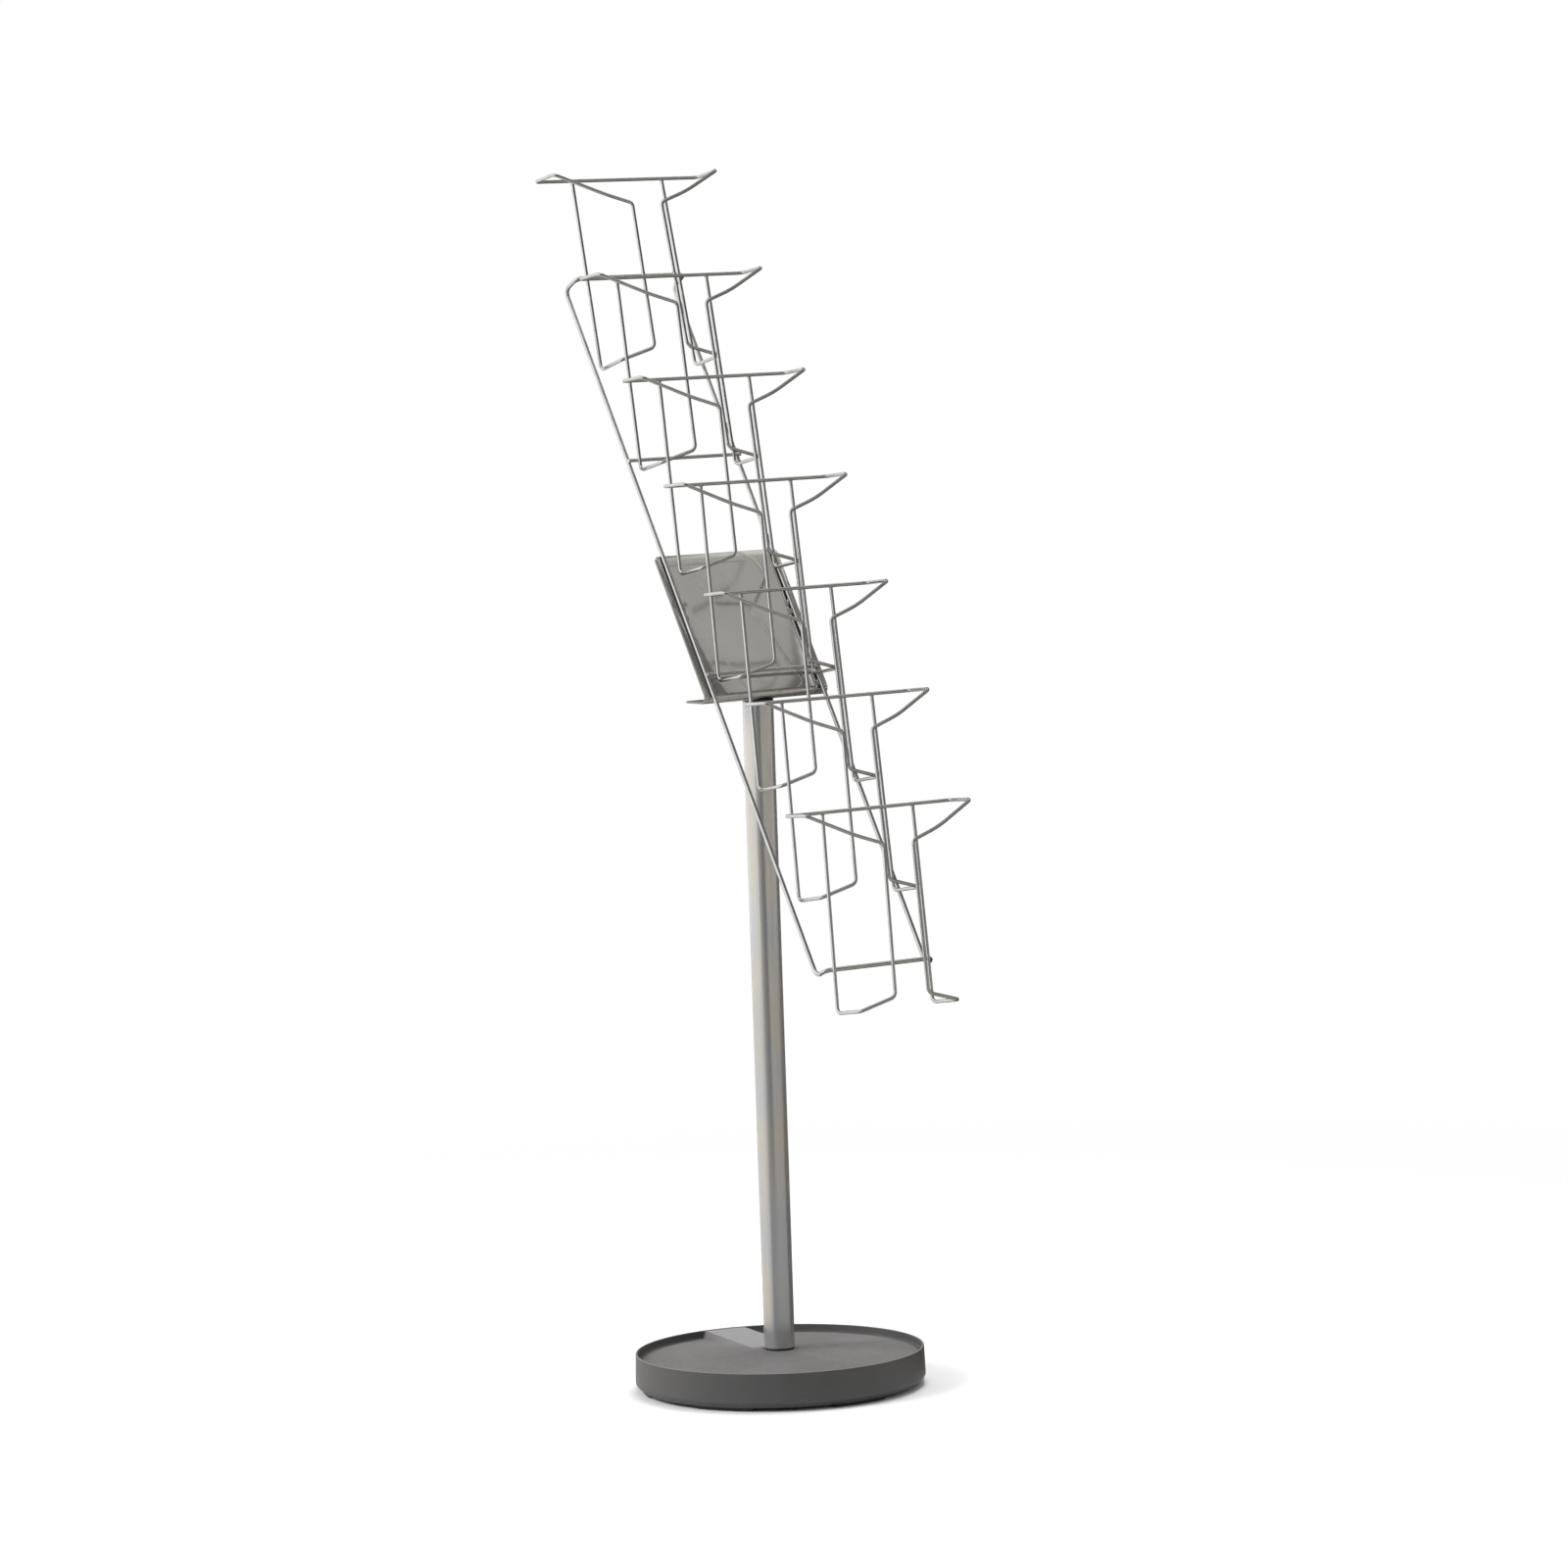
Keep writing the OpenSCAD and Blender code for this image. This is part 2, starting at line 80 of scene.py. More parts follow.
class Signal:
    """A shader socket whose Python operators add Math nodes"""

    def __init__(self, finish, socket):
        self.finish = finish
        self.socket = socket

    def maths(self, operation, *values):
        """A Math node on these values"""
        return self.finish.node("ShaderNodeMath", {"operation": operation}, dict(enumerate(values)))

    def __add__(self, other):
        return self.maths("ADD", self, other)

    def __radd__(self, other):
        return self.maths("ADD", other, self)

    def __sub__(self, other):
        return self.maths("SUBTRACT", self, other)

    def __rsub__(self, other):
        return self.maths("SUBTRACT", other, self)

    def __mul__(self, other):
        return self.maths("MULTIPLY", self, other)

    def __rmul__(self, other):
        return self.maths("MULTIPLY", other, self)

    def __truediv__(self, other):
        return self.maths("DIVIDE", self, other)

    def __pow__(self, other):
        return self.maths("POWER", self, other)

    def absolute(self):
        """The value without its sign"""
        return self.maths("ABSOLUTE", self)

    def at_most(self, limit):
        """The value, or the limit where that is lower"""
        return self.maths("MINIMUM", self, limit)

    def between(self, low, high):
        """0 below low, 1 above high, and smooth between them"""
        sockets = {"Value": self, "From Min": low, "From Max": high}
        return self.finish.node("ShaderNodeMapRange", {"interpolation_type": "SMOOTHSTEP"}, sockets)


class Finish:
    """The node tree of a material or world, with short ways to add nodes"""

    def __init__(self, owner):
        owner.use_nodes = True
        self.tree = owner.node_tree
        self.tree.nodes.clear()

    def node(self, kind, settings=None, sockets=None, output=0):
        """Adds a node, its settings first and then the values or links of its sockets, and gives one output"""
        new = self.tree.nodes.new(kind)
        for key, value in (settings or {}).items():
            setattr(new, key, value)
        for key, value in (sockets or {}).items():
            if isinstance(value, Signal):
                self.tree.links.new(value.socket, new.inputs[key])
            else:
                new.inputs[key].default_value = value
        return Signal(self, new.outputs[output]) if new.outputs else None

    def place(self):
        """Where a point is on the object, in metres"""
        return self.node("ShaderNodeTexCoord", output="Object")

    def axes(self):
        """The place's X, Y and Z"""
        place = self.place()
        return [self.node("ShaderNodeSeparateXYZ", None, {0: place}, axis) for axis in "XYZ"]

    def stretched(self, scale):
        """The place with each axis scaled by itself"""
        return self.node("ShaderNodeMapping", {"vector_type": "POINT"}, {"Vector": self.place(), "Scale": scale})

    def grain(self, size, detail=3.0, rough=0.55, where=None):
        """Noise whose features are about this many metres across"""
        sockets = {"Vector": where or self.place(), "Scale": 1.0 / size, "Detail": detail, "Roughness": rough}
        return self.node("ShaderNodeTexNoise", {"noise_dimensions": "3D"}, sockets, "Fac")

    def blend(self, factor, first, second):
        """A mix of two colours"""
        settings = {"data_type": "RGBA", "clamp_factor": True}
        return self.node("ShaderNodeMix", settings, {"Factor": factor, 6: first, 7: second}, 2)

    def bump(self, height, depth):
        """A normal from a height signal, with its depth in metres"""
        return self.node("ShaderNodeBump", None, {"Height": height, "Distance": depth, "Strength": 1.0}, "Normal")

    def principled(self, sockets):
        """A principled shader"""
        return self.node("ShaderNodeBsdfPrincipled", None, sockets, "BSDF")

    def glow(self, colour):
        """A shader that shows as this colour, whatever the light"""
        return self.node("ShaderNodeEmission", None, {"Color": (*colour, 1), "Strength": 1.0}, "Emission")

    def rays(self, *kinds):
        """For each kind of ray, 1 on such a ray and 0 on any other"""
        paths = self.node("ShaderNodeLightPath").socket.node
        return [Signal(self, paths.outputs[kind]) for kind in kinds]


def shade(colour, factor):
    """An RGBA colour, lighter or darker"""
    return tuple(min(1.0, c * factor) for c in colour[:3]) + (1.0,)


def cast(colour, *factors):
    """An RGBA colour with its red, green and blue each scaled by a factor"""
    return tuple(c * factor for c, factor in zip(colour, factors)) + (1.0,)


def new_material(name, shader):
    """A material with the surface that shader makes"""
    material = bpy.data.materials.new(name)
    finish = Finish(material)
    finish.node("ShaderNodeOutputMaterial", None, {"Surface": shader(finish)})
    return material


def surface(name, constants, build):
    """A material whose principled shader takes these constants and what build gives for its varying sockets"""
    return new_material(name, lambda finish: finish.principled({**constants, **build(finish)}))


def coated_wire(name, colour, roughness):
    """Silver coating on drawn wire: faint mottling, a little orange peel, and duller patches"""
    def build(finish):
        mottle = finish.grain(12 * MM, 4.0)
        peel = finish.grain(0.9 * MM, 2.0)
        dull = finish.grain(50 * MM).between(0.42, 0.7)
        return {
            "Base Color": finish.blend(mottle.between(0.35, 0.7), shade(colour, 0.93), shade(colour, 1.05)),
            "Roughness": roughness + 0.08 * dull + 0.05 * (peel - 0.5),
            "Normal": finish.bump(peel + 0.6 * mottle, 0.01 * MM),
        }
    return surface(name, {"Metallic": 1.0}, build)


def drawn_tube(name, colour, roughness):
    """Satin tube: fine lines along its length, faint long clouds, and a cast that wanders from cool to warm"""
    def build(finish):
        lines = finish.grain(0.6 * MM, 2.0, where=finish.stretched((1.0, 1.0, 0.012)))
        clouds = finish.grain(90 * MM, where=finish.stretched((1.0, 1.0, 0.5)))
        wander = finish.grain(50 * MM, where=finish.stretched((1.0, 1.0, 0.4)))
        cool, warm = cast(colour, 0.95, 0.98, 1.05), cast(colour, 1.04, 1.01, 0.93)
        tone = finish.blend(wander.between(0.4, 0.6), cool, warm)
        return {
            "Base Color": finish.blend(clouds.between(0.35, 0.7) * 0.25, tone, shade(colour, 0.8)),
            "Roughness": roughness + 0.07 * (clouds - 0.5) + 0.06 * (lines - 0.5),
            "Normal": finish.bump(lines, 0.012 * MM),
        }
    return surface(name, {"Metallic": 0.7}, build)


def satin_sheet(name, colour, roughness, sizes):
    """Semi-gloss sheet steel: clouds, a fine tooth, dull dark cut edges, and painted shade in a band along each
    rail
    """
    layout = Layout(sizes)
    half_width = node_high("bracket").x
    front = layout.foot.dot(layout.facing) - sizes.rail_d / 2
    rail_shade_half, rail_shade_reach = 2.9 * MM, 4.3 * MM

    def build(finish):
        clouds = finish.grain(60 * MM)
        tooth = finish.grain(0.8 * MM, 2.0)
        x, y, z = finish.axes()
        side = x.absolute()
        cut = side.between(half_width - SHEET_EDGE_R, half_width - 0.2 * MM)
        facing = y * layout.facing.x + z * layout.facing.y
        on_front = facing.between(front - 1.5 * MM, front - 1.0 * MM)
        # Painted shade: a dark, duller band on the sheet's front beside each rail stands in for the shade where
        # rail and sheet meet
        painted_rail_shade = (1 - (side - sizes.rail_w / 2).absolute().between(rail_shade_half, rail_shade_reach)) * on_front
        face = finish.blend(clouds.between(0.3, 0.7), shade(colour, 0.96), shade(colour, 1.04))
        face = finish.blend(painted_rail_shade, face, shade(colour, 0.25))
        return {
            "Base Color": finish.blend(cut, face, shade(colour, 0.35)),
            "Roughness": roughness + 0.04 * (clouds - 0.5) + 0.03 * (tooth - 0.5) + 0.5 * cut + 0.3 * painted_rail_shade,
            "Metallic": 0.9 - 0.5 * cut,
            "Normal": finish.bump(tooth + 1.5 * clouds, 0.005 * MM),
        }
    return surface(name, {}, build)


def moulded_plastic(name, colour, roughness, tooth_size=0.7 * MM):
    """Moulded plastic: a fine spark texture, cloudy gloss and pale dust in places"""
    def build(finish):
        tooth = finish.grain(tooth_size, rough=0.6)
        clouds = finish.grain(50 * MM, 4.0)
        dust = finish.grain(110 * MM).between(0.5, 0.75)
        base = finish.blend(clouds.between(0.3, 0.7), shade(colour, 0.9), shade(colour, 1.1))
        return {
            "Base Color": finish.blend(dust * 0.16, base, shade(colour, 1.8)),
            "Roughness": roughness + 0.10 * (clouds - 0.5) + 0.08 * (tooth - 0.5),
            "Normal": finish.bump(tooth, 0.04 * MM),
        }
    return surface(name, {"Metallic": 0.0, "Specular IOR Level": 0.45}, build)


def dish_plastic(name, colour, roughness, sizes):
    """The base's plastic: coarse in the dish, fine on the wall, smooth on the arm; the wall painted darker, the
    dish and arm painted lighter, and a painted highlight on the rim's edge
    """
    half_arm = sizes.arm_w / 2
    arm_x, arm_y = cos(sizes.arm_azimuth), sin(sizes.arm_azimuth)

    def build(finish):
        x, y, z = finish.axes()
        radius = (x * x + y * y) ** 0.5
        along = x * arm_x + y * arm_y
        across = y * arm_x - x * arm_y
        inside = 1 - radius.between(sizes.rim_r - 3.2 * sizes.lip_t, sizes.rim_r - 2.6 * sizes.lip_t)
        on_arm = along.between(0.5 * sizes.hub_r, sizes.hub_r) * inside
        on_arm = on_arm * (1 - across.absolute().between(half_arm - 1 * MM, half_arm))
        # Painted highlight: a pale, smoother band along the rim's top edge stands in for light caught by its
        # rounded edge
        edge = z.between(sizes.rim_z - 0.7 * MM, sizes.rim_z - 0.2 * MM) * (1 - inside)
        floor = inside * (1 - on_arm)
        coarse = finish.grain(2.4 * MM, 4.0, 0.7)
        fine = finish.grain(0.6 * MM, rough=0.6)
        clouds = finish.grain(60 * MM, 4.0)
        worn = finish.grain(25 * MM, 4.0, 0.7).between(0.5, 0.8)
        patches = finish.grain(14 * MM, rough=0.6)
        # Painted light and shade: the side wall gets a darker copy of the plastic and the dish floor a lighter
        # one, for how they are shaded and lit; the mottling in each is the plastic's own
        wall = finish.blend(clouds.between(0.3, 0.7), shade(colour, 0.57), shade(colour, 0.67))
        mottle = 0.3 * clouds + 0.12 * patches + 0.58 * coarse
        dish = finish.blend(mottle.between(0.38, 0.62), shade(colour, 1.18), shade(colour, 1.72))
        dish = finish.blend(worn * 0.25, dish, shade(colour, 2.1))
        # Painted light: the arm's top gets a much lighter, cooler copy of the plastic, standing in for the sky
        # light it mirrors; its smoothness is real
        tone = finish.blend(on_arm, finish.blend(floor, wall, dish), cast(colour, 2.8, 2.9, 3.0))
        return {
            "Base Color": finish.blend(edge * 0.6, tone, shade(colour, 2.6)),
            "Roughness": roughness + 0.10 * (clouds - 0.5) + 0.12 * floor - 0.10 * on_arm - 0.14 * edge,
            "Normal": finish.bump(coarse * floor + 0.3 * fine, 0.6 * MM),
        }
    return surface(name, {"Metallic": 0.0, "Specular IOR Level": 0.4}, build)


def plated_steel(name, colour, roughness):
    """Plating on small turned parts: spangled colour and fine tool marks"""
    def build(finish):
        spangle = finish.grain(4 * MM)
        marks = finish.grain(0.4 * MM, 2.0, where=finish.stretched((1.0, 1.0, 3.0)))
        return {
            "Base Color": finish.blend(spangle.between(0.35, 0.65), shade(colour, 0.85), shade(colour, 1.08)),
            "Roughness": roughness + 0.12 * (spangle - 0.5),
            "Normal": finish.bump(marks, 0.01 * MM),
        }
    return surface(name, {"Metallic": 1.0}, build)


def rough_casting(name, colour, roughness):
    """A sand casting: coarse grain and dark pits"""
    def build(finish):
        sand = finish.grain(2.2 * MM, 4.0, 0.65)
        pits = finish.grain(9 * MM).between(0.55, 0.75)
        return {
            "Base Color": finish.blend(pits, shade(colour, 1.1), shade(colour, 0.6)),
            "Roughness": roughness + 0.15 * (sand - 0.5),
            "Normal": finish.bump(sand - 0.8 * pits, 0.3 * MM),
        }
    return surface(name, {"Metallic": 0.6}, build)


# Sizes and colours that a user would change

def length(name, description, default, low=0.0, high=2.0):
    """A length in metres"""
    return bpy.props.FloatProperty(
        name=name, description=description, default=default, min=low, max=high, unit="LENGTH", subtype="DISTANCE"
    )


def angle(name, description, degrees):
    """An angle, with its default in degrees"""
    return bpy.props.FloatProperty(
        name=name, description=description, default=radians(degrees), unit="ROTATION", subtype="ANGLE"
    )


def tint(name, description, default):
    """A colour"""
    return bpy.props.FloatVectorProperty(
        name=name, description=description, default=default, min=0.0, max=1.0, size=3, subtype="COLOR"
    )


class RackSizes(bpy.types.PropertyGroup):
    """Sizes of the pieces that are modelled here"""

    pole_d: length("Pole", "Outside diameter of the pole", node_high("pole_tube").x - node_low("pole_tube").x)
    rim_r: length("Rim radius", "Radius of the base at its rim", 165 * MM)
    foot_r: length("Foot radius", "Radius of the base near the floor", node_high("base_shell").x)
    rim_z: length("Rim height", "Height of the base's rim", 44 * MM)
    skirt_z: length("Skirt height", "Height of the base shell's lower edge", node_low("base_shell").z)
    lip_t: length("Lip", "Width of the base's rim", 2.4 * MM)
    dish_depth: length("Dish depth", "Depth of the dish just inside the rim", 9 * MM)
    hub_r: length("Hub radius", "Radius of the flat hub round the pole", 30 * MM)
    hub_z: length("Hub height", "Height of the hub", 43.5 * MM)
    arm_w: length("Arm width", "Width of the raised arm at its top", 50 * MM)
    arm_draft: length("Arm draft", "Width of the sloped face on each side of the arm", 4 * MM)
    arm_azimuth: angle("Arm azimuth", "Direction of the arm from +X", 77)
    pole_wall: length("Pole wall", "Thickness of the pole's wall", 1.5 * MM)
    sheet_t: length("Sheet", "Thickness of the bracket's sheet", 2.5 * MM)
    bend_r: length("Bend", "Inside radius of the bracket's bend", 5 * MM)
    panel_corner_r: length("Panel corner", "Radius of the panel's top corners", 5 * MM)
    foot_corner_r: length("Foot corner", "Radius of the foot plate's back corners", 1.5 * MM)
    foot_back: length("Foot back", "How far the foot plate runs behind the pole's axis", 20 * MM)
    foot_hole_r: length("Foot hole", "Radius of the foot plate's hole", 4.08 * MM)
    lean: angle("Lean", "Lean of the rails and the panel", 30)
    wire_d: length("Pocket wire", "Diameter of the pocket wire", 4 * MM)
    rail_d: length("Frame wire", "Diameter of the frame wire", 5 * MM)
    bar_d: length("Crossbar", "Diameter of the crossbars", 4 * MM)
    rail_w: length("Rail gap", "Gap between the rails, centre to centre", 153 * MM)
    rail_reach: length("Rail reach", "How far the rails pass in front of the pole's axis", 26.5 * MM)
    lower_bar_up: length("Lower crossbar", "Height of the lower crossbar along the rails", 35.5 * MM)
    upper_bar_up: length("Upper crossbar", "Height of the upper crossbar along the rails", 311.63 * MM)
    corner_below_bar: length("Corner drop", "How far a pocket's corners hang below the crossbar", 8.5 * MM)
    panel_top_up: length("Panel top", "Height of the panel's top edge along the rails", 191 * MM)
    top_bar_drop: length("Top bar", "Drop of the top bar below the first straight wire", 113.5 * MM)
    bottom_bar_rise: length("Bottom bar", "Rise of the bottom bar over the last corners", 48.5 * MM)
    pocket_h: length("Pocket height", "Height of a pocket along its back", 222.5 * MM)
    pocket_step: length("Pocket step", "Step from one pocket to the next", 127.5 * MM)
    back_top_w: length("Back wires, top", "Gap between the back wires at the top", 126 * MM)
    back_low_w: length("Back wires, bottom", "Gap between the back wires at the bottom", 133 * MM)
    front_depth: length("Pocket depth", "Depth from the back wires to the front wires", 50.5 * MM)
    front_drop: length("Front drop", "How far the front wires stop below the top wire", 39.5 * MM)
    front_rise: length("Front rise", "Height of the front corners over the bottom", 13.5 * MM)
    front_low_w: length("Front wires, bottom", "Gap between the front wires at the bottom", 46 * MM)
    front_top_w: length("Front wires, top", "Gap between the front wires at the top", 41 * MM)


class RackColours(bpy.types.PropertyGroup):
    """Colours of the finishes"""

    wire: tint("Wire", "Silver coating of the pockets", (0.53, 0.53, 0.525))
    frame_wire: tint("Frame", "Silver coating of the frame and crossbars", (0.53, 0.53, 0.525))
    pole: tint("Pole", "Satin steel of the pole", (0.48, 0.475, 0.465))
    panel: tint("Panel", "Satin sheet of the bracket", (0.58, 0.57, 0.545))
    plastic: tint("Base", "Moulded plastic of the base", (0.098, 0.095, 0.094))
    black: tint("Black", "Plugs and pads", (0.012, 0.012, 0.013))
    zinc: tint("Zinc", "Screws, bolt and washers", (0.55, 0.55, 0.53))


class StageSettings(bpy.types.PropertyGroup):
    """The studio: where the camera stands, and the floor's colour"""

    yaw: angle("Yaw", "Turn of the camera's line of sight from +Y", 36.468)
    pitch: angle("Pitch", "Rise of the line of sight", -4.937)
    roll: angle("Roll", "Roll about the line of sight", -1.922)
    aim_x: length("Aim X", "Where the line of sight crosses the rack's middle", 0.0329, -2.0)
    aim_z: length("Aim Z", "Height at which it crosses", 0.6891)
    distance: length("Distance", "Distance from the camera to that point", 7.471, 0.5, 50.0)
    focal_px: bpy.props.FloatProperty(
        name="Focal length", description="Focal length in pixels of a 1600 pixel picture", default=6702.0,
        subtype="PIXEL",
    )
    floor_tone: tint("Floor", "Colour of the floor", (0.86, 0.86, 0.86))


PICTURE_PX = 1600
SENSOR_MM = 36.0


# Meshes

def add_object(mesh, material, body=None, replaces=()):
    """Links a mesh as a piece of the same name, which rides on a body"""
    piece = bpy.data.objects.new(mesh.name, mesh)
    bpy.context.scene.collection.objects.link(piece)
    mesh.materials.append(material)
    if body:
        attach(piece, body)
    if replaces:
        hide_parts(*replaces)
    return piece


def wear(finishes):
    """Gives CAD nodes their materials"""
    for name, material in finishes.items():
        mesh = NODES[name].data
        mesh.materials.clear()
        mesh.materials.append(material)


def plain_mesh(name, vertices, faces):
    """A mesh from points and faces"""
    mesh = bpy.data.meshes.new(name)
    mesh.from_pydata([tuple(v) for v in vertices], [], faces)
    return mesh


def editable(vertices, faces):
    """A shape that bmesh can edit, from points and faces"""
    draft = plain_mesh("draft", vertices, faces)
    shape = bmesh.new()
    shape.from_mesh(draft)
    bpy.data.meshes.remove(draft)
    return shape


def smooth_mesh(name, shape, sharp):
    """The mesh of an edited shape: its faces outward and smooth, its edges over an angle sharp"""
    mesh = bpy.data.meshes.new(name)
    bmesh.ops.recalc_face_normals(shape, faces=shape.faces)
    shape.to_mesh(mesh)
    shape.free()
    mesh.shade_smooth()
    mesh.set_sharp_from_angle(angle=sharp)
    return mesh


def mesh_from(name, vertices, faces, sharp=SHARP_ANGLE):
    """A smooth-shaded mesh from points and faces, with points that coincide made one"""
    shape = editable(vertices, faces)
    bmesh.ops.remove_doubles(shape, verts=shape.verts, dist=WELDED_POINTS)
    return smooth_mesh(name, shape, sharp)


def grid_faces(columns, rows, wrap_columns=False, wrap_rows=False):
    """Faces between points that are listed column by column"""
    faces = []
    for i in range(columns if wrap_columns else columns - 1):
        j = (i + 1) % columns
        for k in range(rows if wrap_rows else rows - 1):
            m = (k + 1) % rows
            faces.append((i * rows + k, j * rows + k, j * rows + m, i * rows + m))
    return faces


def around(profile, turn):
    """A profile of (radius, height) points, turned about Z by this angle"""
    return [Vector((r * cos(turn), r * sin(turn), z)) for r, z in profile]


def turns(count):
    """Evenly spaced angles round a circle"""
    return [2 * pi * i / count for i in range(count)]


def lathe(profile, segments):
    """Vertices and faces of a closed outline of (radius, height) points turned about Z"""
    vertices = [vertex for turn in turns(segments) for vertex in around(profile, turn)]
    return vertices, grid_faces(segments, len(profile), True, True)


def joined(parts):
    """Several pairs of vertices and faces as one pair"""
    vertices, faces = [], []
    for more, more_faces in parts:
        faces += [tuple(i + len(vertices) for i in face) for face in more_faces]
        vertices += more
    return vertices, faces


def with_loops(outline, margin):
    """The same outline with points added close to the ends of its long sides, so that those shade straight"""
    result = []
    for i, point in enumerate(outline):
        here, there = Vector(point), Vector(outline[(i + 1) % len(outline)])
        result.append(tuple(point))
        if (there - here).length > 4 * margin:
            step = (there - here).normalized() * margin
            result += [tuple(here + step), tuple(there - step)]
    return result


def rounded(points, radii, steps=5):
    """An outline with its corners turned into arcs"""
    result = []
    count = len(points)
    for i, (point, radius) in enumerate(zip(points, radii)):
        if radius <= 0:
            result.append(point)
            continue
        here = Vector(point)
        before = (Vector(points[i - 1]) - here).normalized()
        after = (Vector(points[(i + 1) % count]) - here).normalized()
        half = acos(max(-1.0, min(1.0, before.dot(after)))) / 2
        centre = here + (before + after).normalized() * radius / sin(half)
        start = here + before * radius / tan(half) - centre
        stop = here + after * radius / tan(half) - centre
        for k in range(steps + 1):
            spoke = start.slerp(stop, k / steps)
            result.append(tuple(centre + spoke.normalized() * radius))
    return result


# Base

def dish_radius(sizes):
    """Radius at which the dish's floor meets the rim"""
    return 2 * sizes.rim_r - sizes.lip_t - sizes.foot_r


def dish_height(sizes, radius):
    """Height of the dish's floor at this radius"""
    share = min(1.0, max(0.0, (radius - sizes.hub_r) / (dish_radius(sizes) - sizes.hub_r)))
    return sizes.hub_z + (sizes.rim_z - sizes.dish_depth - sizes.hub_z) * share


def base_section(sizes):
    """The shell's closed outline, from the hub out over the dish, rim and wall, and back underneath"""
    shell_t = 3 * MM
    hub_lip_inner = sizes.pole_d / 2 + 1.8 * MM
    hub_lip_w, hub_lip_h = 1.6 * MM, 0.6 * MM
    dish_r, dish_z = dish_radius(sizes), sizes.rim_z - sizes.dish_depth
    column_r, column_z = 16 * MM, 22.8 * MM
    bolt_r = 5.2 * MM
    toe = 6 * MM
    top = [
        (bolt_r, sizes.hub_z), (hub_lip_inner, sizes.hub_z),
        (hub_lip_inner, sizes.hub_z + hub_lip_h), (hub_lip_inner + hub_lip_w, sizes.hub_z + hub_lip_h),
        (hub_lip_inner + 2 * hub_lip_w, sizes.hub_z), (sizes.hub_r, sizes.hub_z), (dish_r, dish_z),
        (sizes.rim_r - sizes.lip_t, sizes.rim_z), (sizes.rim_r, sizes.rim_z),
        (sizes.foot_r, sizes.skirt_z + toe), (sizes.foot_r - toe, sizes.skirt_z),
    ]
    radii = [r * MM for r in (0, 0, 0.2, 0.4, 0.4, 6, 2.5, 0.7, 0.9, 4.5, 0)]
    under = [
        (sizes.foot_r - toe, sizes.skirt_z + toe / 2), (sizes.foot_r - shell_t, sizes.skirt_z + toe),
        (sizes.rim_r - sizes.lip_t - shell_t / 2, dish_z - 1.5 * shell_t), (dish_r - shell_t, dish_z - shell_t),
        (column_r, sizes.hub_z - shell_t), (column_r, column_z), (bolt_r, column_z),
    ]
    return rounded(top + under, radii + [0] * len(under))


def spaced(outline, longest):
    """The outline with points added wherever two lie far apart"""
    result = []
    for (r, z), (r2, z2) in zip(outline, outline[1:] + outline[:1]):
        parts = max(1, int(hypot(r2 - r, z2 - z) / longest + 0.5))
        result += [(r + (r2 - r) * k / parts, z + (z2 - z) * k / parts) for k in range(parts)]
    return result


def arm_height(offset, half, toe, edge_r, top_z, foot_z):
    """Height of the arm at this distance from its middle line"""
    edge_drop = 0.9 * edge_r
    if offset <= half - edge_r:
        return top_z
    if offset <= half + edge_r:
        share = (offset - half + edge_r) / (2 * edge_r)
        return top_z - edge_drop * share * share
    slope = (top_z - edge_drop - foot_z) / (toe - half - edge_r)
    return max(0.0, top_z - edge_drop - slope * (offset - half - edge_r)) if offset <= toe else 0.0


def build_base(sizes, material):
    """The moulded dish: a turned shell, with the arm raised out of its floor"""
    shape = editable(*lathe(spaced(base_section(sizes), 4 * MM), 192))
    along = Vector((cos(sizes.arm_azimuth), sin(sizes.arm_azimuth), 0))
    across = Vector((-along.y, along.x, 0))
    half = sizes.arm_w / 2
    toe = half + sizes.arm_draft
    edge_r = 0.8 * MM
    arm_start = sizes.pole_d / 2 + 5 * MM
    arm_stop = sizes.rim_r - sizes.lip_t / 3
    arm_top = sizes.hub_z + 0.05 * MM

    def on_dish(vertex):
        """Whether a vertex lies on the dish's upper face, on the arm's side"""
        radius = hypot(vertex.co.x, vertex.co.y)
        return (
            arm_start < radius < arm_stop and vertex.co.dot(along) > 0
            and vertex.co.z > dish_height(sizes, radius) - 0.5 * MM
        )

    for cut in (toe + 0.6 * MM, toe, half + edge_r, half + edge_r / 2, half, half - edge_r):
        for side in (-1, 1):
            faces = [face for face in shape.faces if all(on_dish(v) for v in face.verts)]
            edges = {edge for face in faces for edge in face.edges}
            corners = {vertex for face in faces for vertex in face.verts}
            geometry = [*corners, *edges, *faces]
            middle = across * cut * side
            bmesh.ops.bisect_plane(shape, geom=geometry, dist=WELDED_POINTS, plane_co=middle, plane_no=across)
    for vertex in filter(on_dish, shape.verts):
        offset = abs(vertex.co.dot(across))
        raised = arm_height(offset, half, toe, edge_r, arm_top, sizes.rim_z - sizes.dish_depth)
        vertex.co.z = max(vertex.co.z, raised)
    mesh = smooth_mesh("base_moulding", shape, radians(32))
    add_object(mesh, material, STAND, ["base_shell"])


class RACK_OT_base(bpy.types.Operator):
    """Models the base's moulded shell"""

    bl_idname = "rack.base"
    bl_label = "Base shell"

    def execute(self, context):
        scene = context.scene
        material = dish_plastic("base_plastic", scene.rack_colours.plastic, 0.52, scene.rack_sizes)
        build_base(scene.rack_sizes, material)
        return {"FINISHED"}


